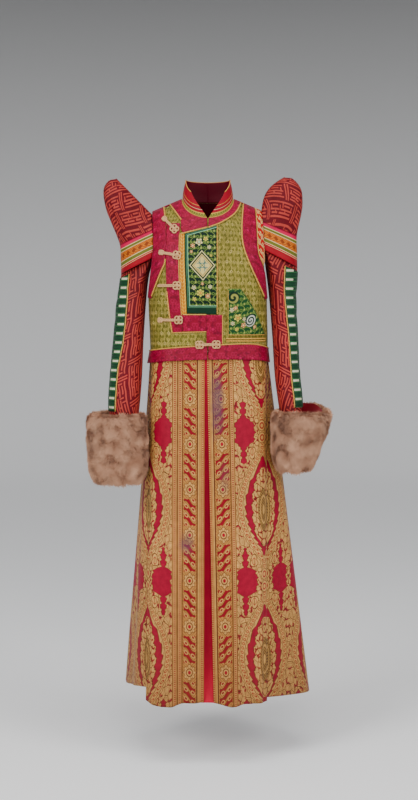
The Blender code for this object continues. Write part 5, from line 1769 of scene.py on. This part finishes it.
def dotted_guard(silk, low, high):
    """A narrow woven guard: gold with a row of brown dots between two lines."""
    middle = (low + high) / 2
    silk.lay(silk.across.within(low, high), WOVEN_GOLD, 0.2)
    for line in (low + 0.0012, high - 0.0012):
        silk.lay(silk.across.within(line - 0.0008, line + 0.0008), OUTLINE_BROWN)
    silk.lay(silk.across.within(middle - 0.0024, middle + 0.0024), (136, 14, 34), -0.3)
    dots = length_of(silk.across - middle, silk.down.repeat(0.0056))
    silk.lay(dots.below(0.0018), PALE_GOLD, 0.5)
    silk.lay(silk.across.within(low + 0.0030, low + 0.0042), PALE_GOLD)
    silk.lay(silk.across.within(high - 0.0042, high - 0.0030), PALE_GOLD)


def scroll_border(silk, low, high):
    """Gold border with a rosette block and then three curved crimson slivers, over and over."""
    middle = (low + high) / 2
    half = (high - low) / 2
    x = silk.across - middle
    y = silk.down.repeat(0.119)
    silk.lay(silk.across.within(low, high), WOVEN_GOLD, 0.3)
    stalk = abs((silk.down * 0.8 + abs(x) * 0.9).repeat(0.0062)).below(0.0007)
    silk.lay(stalk * silk.across.within(low, high), (132, 84, 46), -0.3)
    bend = x * 0.55 + (x * (math.pi / half)).join("SINE") * 0.0070
    sliver = abs((silk.down + bend).repeat(0.0238, 0.0119))
    is_open = 1.0 - abs(y).below(0.0240)
    inside = abs(x).below(half - 0.0035) * is_open
    swell = 0.0084 - abs(x) * 0.10
    silk.lay((sliver - swell).below(0.0) * inside, OUTLINE_BROWN)
    silk.lay((sliver - swell).below(-0.0014) * inside, (138, 22, 34), -0.4)
    hook = length_of(abs(x) - 0.0090, (silk.down + x * 0.5).repeat(0.0238))
    silk.lay(abs(hook - 0.0042).below(0.0011) * inside, PALE_GOLD, 0.6)
    away = length_of(x, y * 0.80)
    outlined(silk, away - (lobes(angle_of(x, y), 8.0) * 0.0018 + 0.0158), 0.0, -0.0014)
    spoke = abs((angle_of(x, y) * (8.0 / math.pi)).repeat(1.0, 0.5)).below(0.10, 0.05)
    silk.lay(spoke * away.within(0.0060, 0.0135), (132, 84, 46), -0.3)
    silk.lay(abs(away - 0.0078).below(0.0010), OUTLINE_BROWN)
    silk.lay(away.below(0.0040), (150, 20, 40))
    for line in (low, high):
        silk.lay(silk.across.within(line - 0.0010, line + 0.0010), OUTLINE_BROWN)


def stains_and_hem_darkening(silk, stains):
    """Handling marks: purple-grey stains on the fronts; and the cloth made darker towards the hem."""
    for across, down, wide, long, strength in stains:
        away = length_of((silk.across - across) / wide, (silk.down - down) / long)
        cloud = away + (silk.speckle(45.0, 4.0, 12.0) - 0.5) * 1.6
        silk.lay(cloud.below(0.9, 0.9) * strength, (92, 62, 78))
    # the lowest part of the cloth is made darker, more and more towards the hem
    hem_darkening = (silk.down - (BROCADE_LENGTH - HEM_DARKENING_HEIGHT)).highest(0.0) / HEM_DARKENING_HEIGHT
    silk.lay(hem_darkening.lowest(1.0) * 0.34, (88, 50, 34))
    silk.shade(0.42, 75.0, 3.0, 7.0)
    silk.shade(0.26, 6.0, 3.0, 8.0)


def skirt_brocade(name, axis, borders=(), stains=()):
    """Brocade of one panel, its figures placed by their distance from the panel's first edge."""
    silk = Silk(name, SILK_CRIMSON, roughness=0.50)
    ogee_field(silk, axis)
    for low, high, kind in borders:
        kind(silk, low, high)
    stains_and_hem_darkening(silk, stains)
    return silk.finish()


LEFT_BORDERS = [(-0.010, 0.019, dotted_guard), (0.019, 0.057, scroll_border), (0.057, 0.071, dotted_guard),
                (0.071, 0.086, dotted_guard)]
RIGHT_BORDERS = [(-0.010, 0.014, dotted_guard), (0.014, 0.056, scroll_border),
                 (0.056, 0.069, dotted_guard)]
BROCADE_LEFT = skirt_brocade("skirt_brocade_left", 0.166, LEFT_BORDERS, [(0.046, 0.500, 0.018, 0.030, 0.6)])
BROCADE_RIGHT = skirt_brocade("skirt_brocade_right", 0.149, RIGHT_BORDERS,
                              [(0.024, 0.130, 0.016, 0.085, 0.75), (0.040, 0.330, 0.014, 0.040, 0.35)])
BROCADE_SIDE_LEFT = skirt_brocade("skirt_brocade_side_left", 0.023)
BROCADE_SIDE_RIGHT = skirt_brocade("skirt_brocade_side_right", 0.011)
BROCADE_BACK = skirt_brocade("skirt_brocade_back", 0.083)


def skirt_front(hem, folds):
    return lambda u, v: skirt_point(hem, folds, u, v)


def skirt_wrap(first, last):
    def place(u, v):
        share = mix(first, last, u)
        lap = max(1 - min(share, 1 - share) / LAP_SHARE, 0.0)
        return skirt_point(SIDE_BACK_HEM, SIDE_BACK_FOLDS, share, v, TUCK * lap ** 0.5)
    return place


def under_strip(u, v):
    left = skirt_point(FRONT_LEFT_HEM, FRONT_LEFT_FOLDS[:3], 0.10, v)
    right = skirt_point(FRONT_RIGHT_HEM, FRONT_RIGHT_FOLDS[:3], 0.10, v)
    point = left.lerp(right, u)
    return Vector((point.x, point.y + STRIP_INSET, mix(point.z, HEM_Z, v)))


SKIRT_PIECES = [
    ("front_left", 60, skirt_front(FRONT_LEFT_HEM, FRONT_LEFT_FOLDS), BROCADE_LEFT),
    ("front_right", 60, skirt_front(FRONT_RIGHT_HEM, FRONT_RIGHT_FOLDS), BROCADE_RIGHT),
    ("side_left", 72, skirt_wrap(0.0, 0.30), BROCADE_SIDE_LEFT),
    ("back", 96, skirt_wrap(0.30, 0.70), BROCADE_BACK),
    ("side_right", 72, skirt_wrap(1.0, 0.70), BROCADE_SIDE_RIGHT),
]
for word, columns, place, brocade in SKIRT_PIECES:
    panel = add_cloth("skirt_silk_" + word, columns, 110, place, CLOTH, brocade, lining=LINING)
    band = "waist_damask_" + ("back_left" if word == "back" else word.replace("side", "front"))
    worn_piece(panel, "skirt_" + word, [band])

under_silk = Silk("crimson_cloth", (196, 14, 58), roughness=0.48, sheen=0.1)
under_silk.shade(0.3, 24.0, 3.0, 4.0)
under_silk.shade(0.25, 4.0, 2.0, 6.0)
strip = add_cloth("skirt_strip_silk", 10, 110, under_strip, CLOTH, under_silk.finish())
worn_piece(strip, "skirt_under_strip", ["waist_damask_front_left"])

# The toggles: five fastenings of peach silk cord. Each is a loop and stem of doubled cord that ends in a
# knotted flower of lobes round a ball, sewn flat on the trims. The waist one has a flower at each end,
# and three of the others start in a small flower.
Toggle = namedtuple("Toggle", "name x0 z0 x1 z1")
TOGGLES = rows(Toggle, [
    ("toggle_1", -0.116, -0.036, -0.080, -0.074),
    ("toggle_2", -0.124, -0.127, -0.070, -0.137),
    ("toggle_3", -0.127, -0.214, -0.070, -0.214),
    ("toggle_4", -0.127, -0.304, -0.066, -0.303),
    ("toggle_5", -0.032, -0.3690, 0.032, -0.3680),
])
ON_TRIM = ON_BODY + 0.0009 + 0.003
ON_WAIST = ON_TRIM + 0.0006
TOGGLE_CORD = 0.0020
LOBE = 0.0054
SMALL_LOBE = LOBE * 0.55
FLOWER_INSET = 0.0100
CORD_SPREAD = 0.0017
STEM_STEPS = 30
CORD_PEACH = twisted_cord("toggle_cord", (238, 196, 150), (188, 128, 84), pitch=0.0030)


def toggle_heading(toggle):
    return Vector((toggle.x1 - toggle.x0, 0, toggle.z1 - toggle.z0)).normalized()


def flat_cord(name, run, lift, toggle):
    """A cord laid along a toggle: run is a list of places along it, across it and above it, in metres."""
    heading = toggle_heading(toggle)
    cross = Vector((-heading.z, 0, heading.x))
    path = []
    for forward, across, rise in run:
        x = toggle.x0 + heading.x * forward + cross.x * across
        z = toggle.z0 + heading.z * forward + cross.z * across
        path.append(on_body(x, z, -1, lift + rise))
    return add_cord(name, path, TOGGLE_CORD, CORD_PEACH)


def flower_run(middle, heading, lobe):
    """The places of one cord that loops into four round lobes, each starting at the flower's middle."""
    run = []
    steps = 26
    for petal in range(4):
        out = math.pi / 4 + petal * math.pi / 2
        for step in range(steps + 1):
            turn = out + math.pi + 2 * math.pi * step / steps
            forward = lobe * (math.cos(out) + math.cos(turn))
            across = lobe * (math.sin(out) + math.sin(turn))
            run.append((middle + heading * forward, across, 0.0010 * math.sin(math.pi * step / steps)))
    return run


def button(name, middle, toggle, lift):
    """The knot's ball in the middle of the flower, a small turned button of cord."""
    heading = toggle_heading(toggle)
    centre = on_body(toggle.x0 + heading.x * middle, toggle.z0 + heading.z * middle, -1, lift + 0.0020)
    shape = bmesh.new()
    bmesh.ops.create_uvsphere(shape, u_segments=20, v_segments=12, radius=0.0036)
    for vertex in shape.verts:
        around = math.atan2(vertex.co.z, vertex.co.x)
        ridge = 1 + 0.07 * math.cos(6 * around + vertex.co.y * 900)
        vertex.co = Vector((vertex.co.x * ridge, vertex.co.y * 0.8, vertex.co.z * ridge)) + centre
    mesh = bpy.data.meshes.new(name)
    chart = shape.loops.layers.uv.new("cloth")
    for face in shape.faces:
        for loop in face.loops:
            offset = loop.vert.co - centre
            loop[chart].uv = (math.atan2(offset.z, offset.x) * 0.003, offset.y)
    shape.to_mesh(mesh)
    shape.free()
    mesh.shade_smooth()
    mesh.materials.append(CORD_PEACH)
    ball = put_in_scene(name, mesh)
    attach(ball, "root")


for toggle in TOGGLES:
    length = math.hypot(toggle.x1 - toggle.x0, toggle.z1 - toggle.z0)
    lift = (ON_WAIST if toggle.name == "toggle_5" else ON_TRIM) - TOGGLE_CORD
    ends = [(length - FLOWER_INSET, 1)]
    if toggle.name == "toggle_5":
        ends.append((FLOWER_INSET, -1))
    start = 0.0 if len(ends) == 1 else 2 * FLOWER_INSET
    last = ends[0][0] - 0.004
    stem = []
    for step in range(STEM_STEPS + 1):
        stem.append((mix(last, start, step / STEM_STEPS), CORD_SPREAD, 0.0))
    for step in range(1, 8):
        turn = math.pi * step / 8
        stem.append((start - CORD_SPREAD * math.sin(turn), CORD_SPREAD * math.cos(turn), 0.0))
    for step in range(STEM_STEPS + 1):
        stem.append((mix(start, last, step / STEM_STEPS), -CORD_SPREAD, 0.0))
    cord = flat_cord(toggle.name + "_stem", stem, lift, toggle)
    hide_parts(toggle.name)
    for number, (middle, heading) in enumerate(ends):
        flat_cord(f"{toggle.name}_flower_{number}", flower_run(middle, heading, LOBE), lift, toggle)
        button(f"{toggle.name}_button_{number}", middle, toggle, lift)
    if toggle.name in ("toggle_1", "toggle_2", "toggle_4"):
        flat_cord(f"{toggle.name}_small_flower", flower_run(0.004, -1, SMALL_LOBE), lift, toggle)
    if len(ends) == 2:
        flat_cord("toggle_5_stem_left", [(mix(0.013, 0.020, step / 8), 0.0, 0.0) for step in range(9)],
                  lift, toggle)
        button("toggle_5_middle", length / 2, toggle, lift)
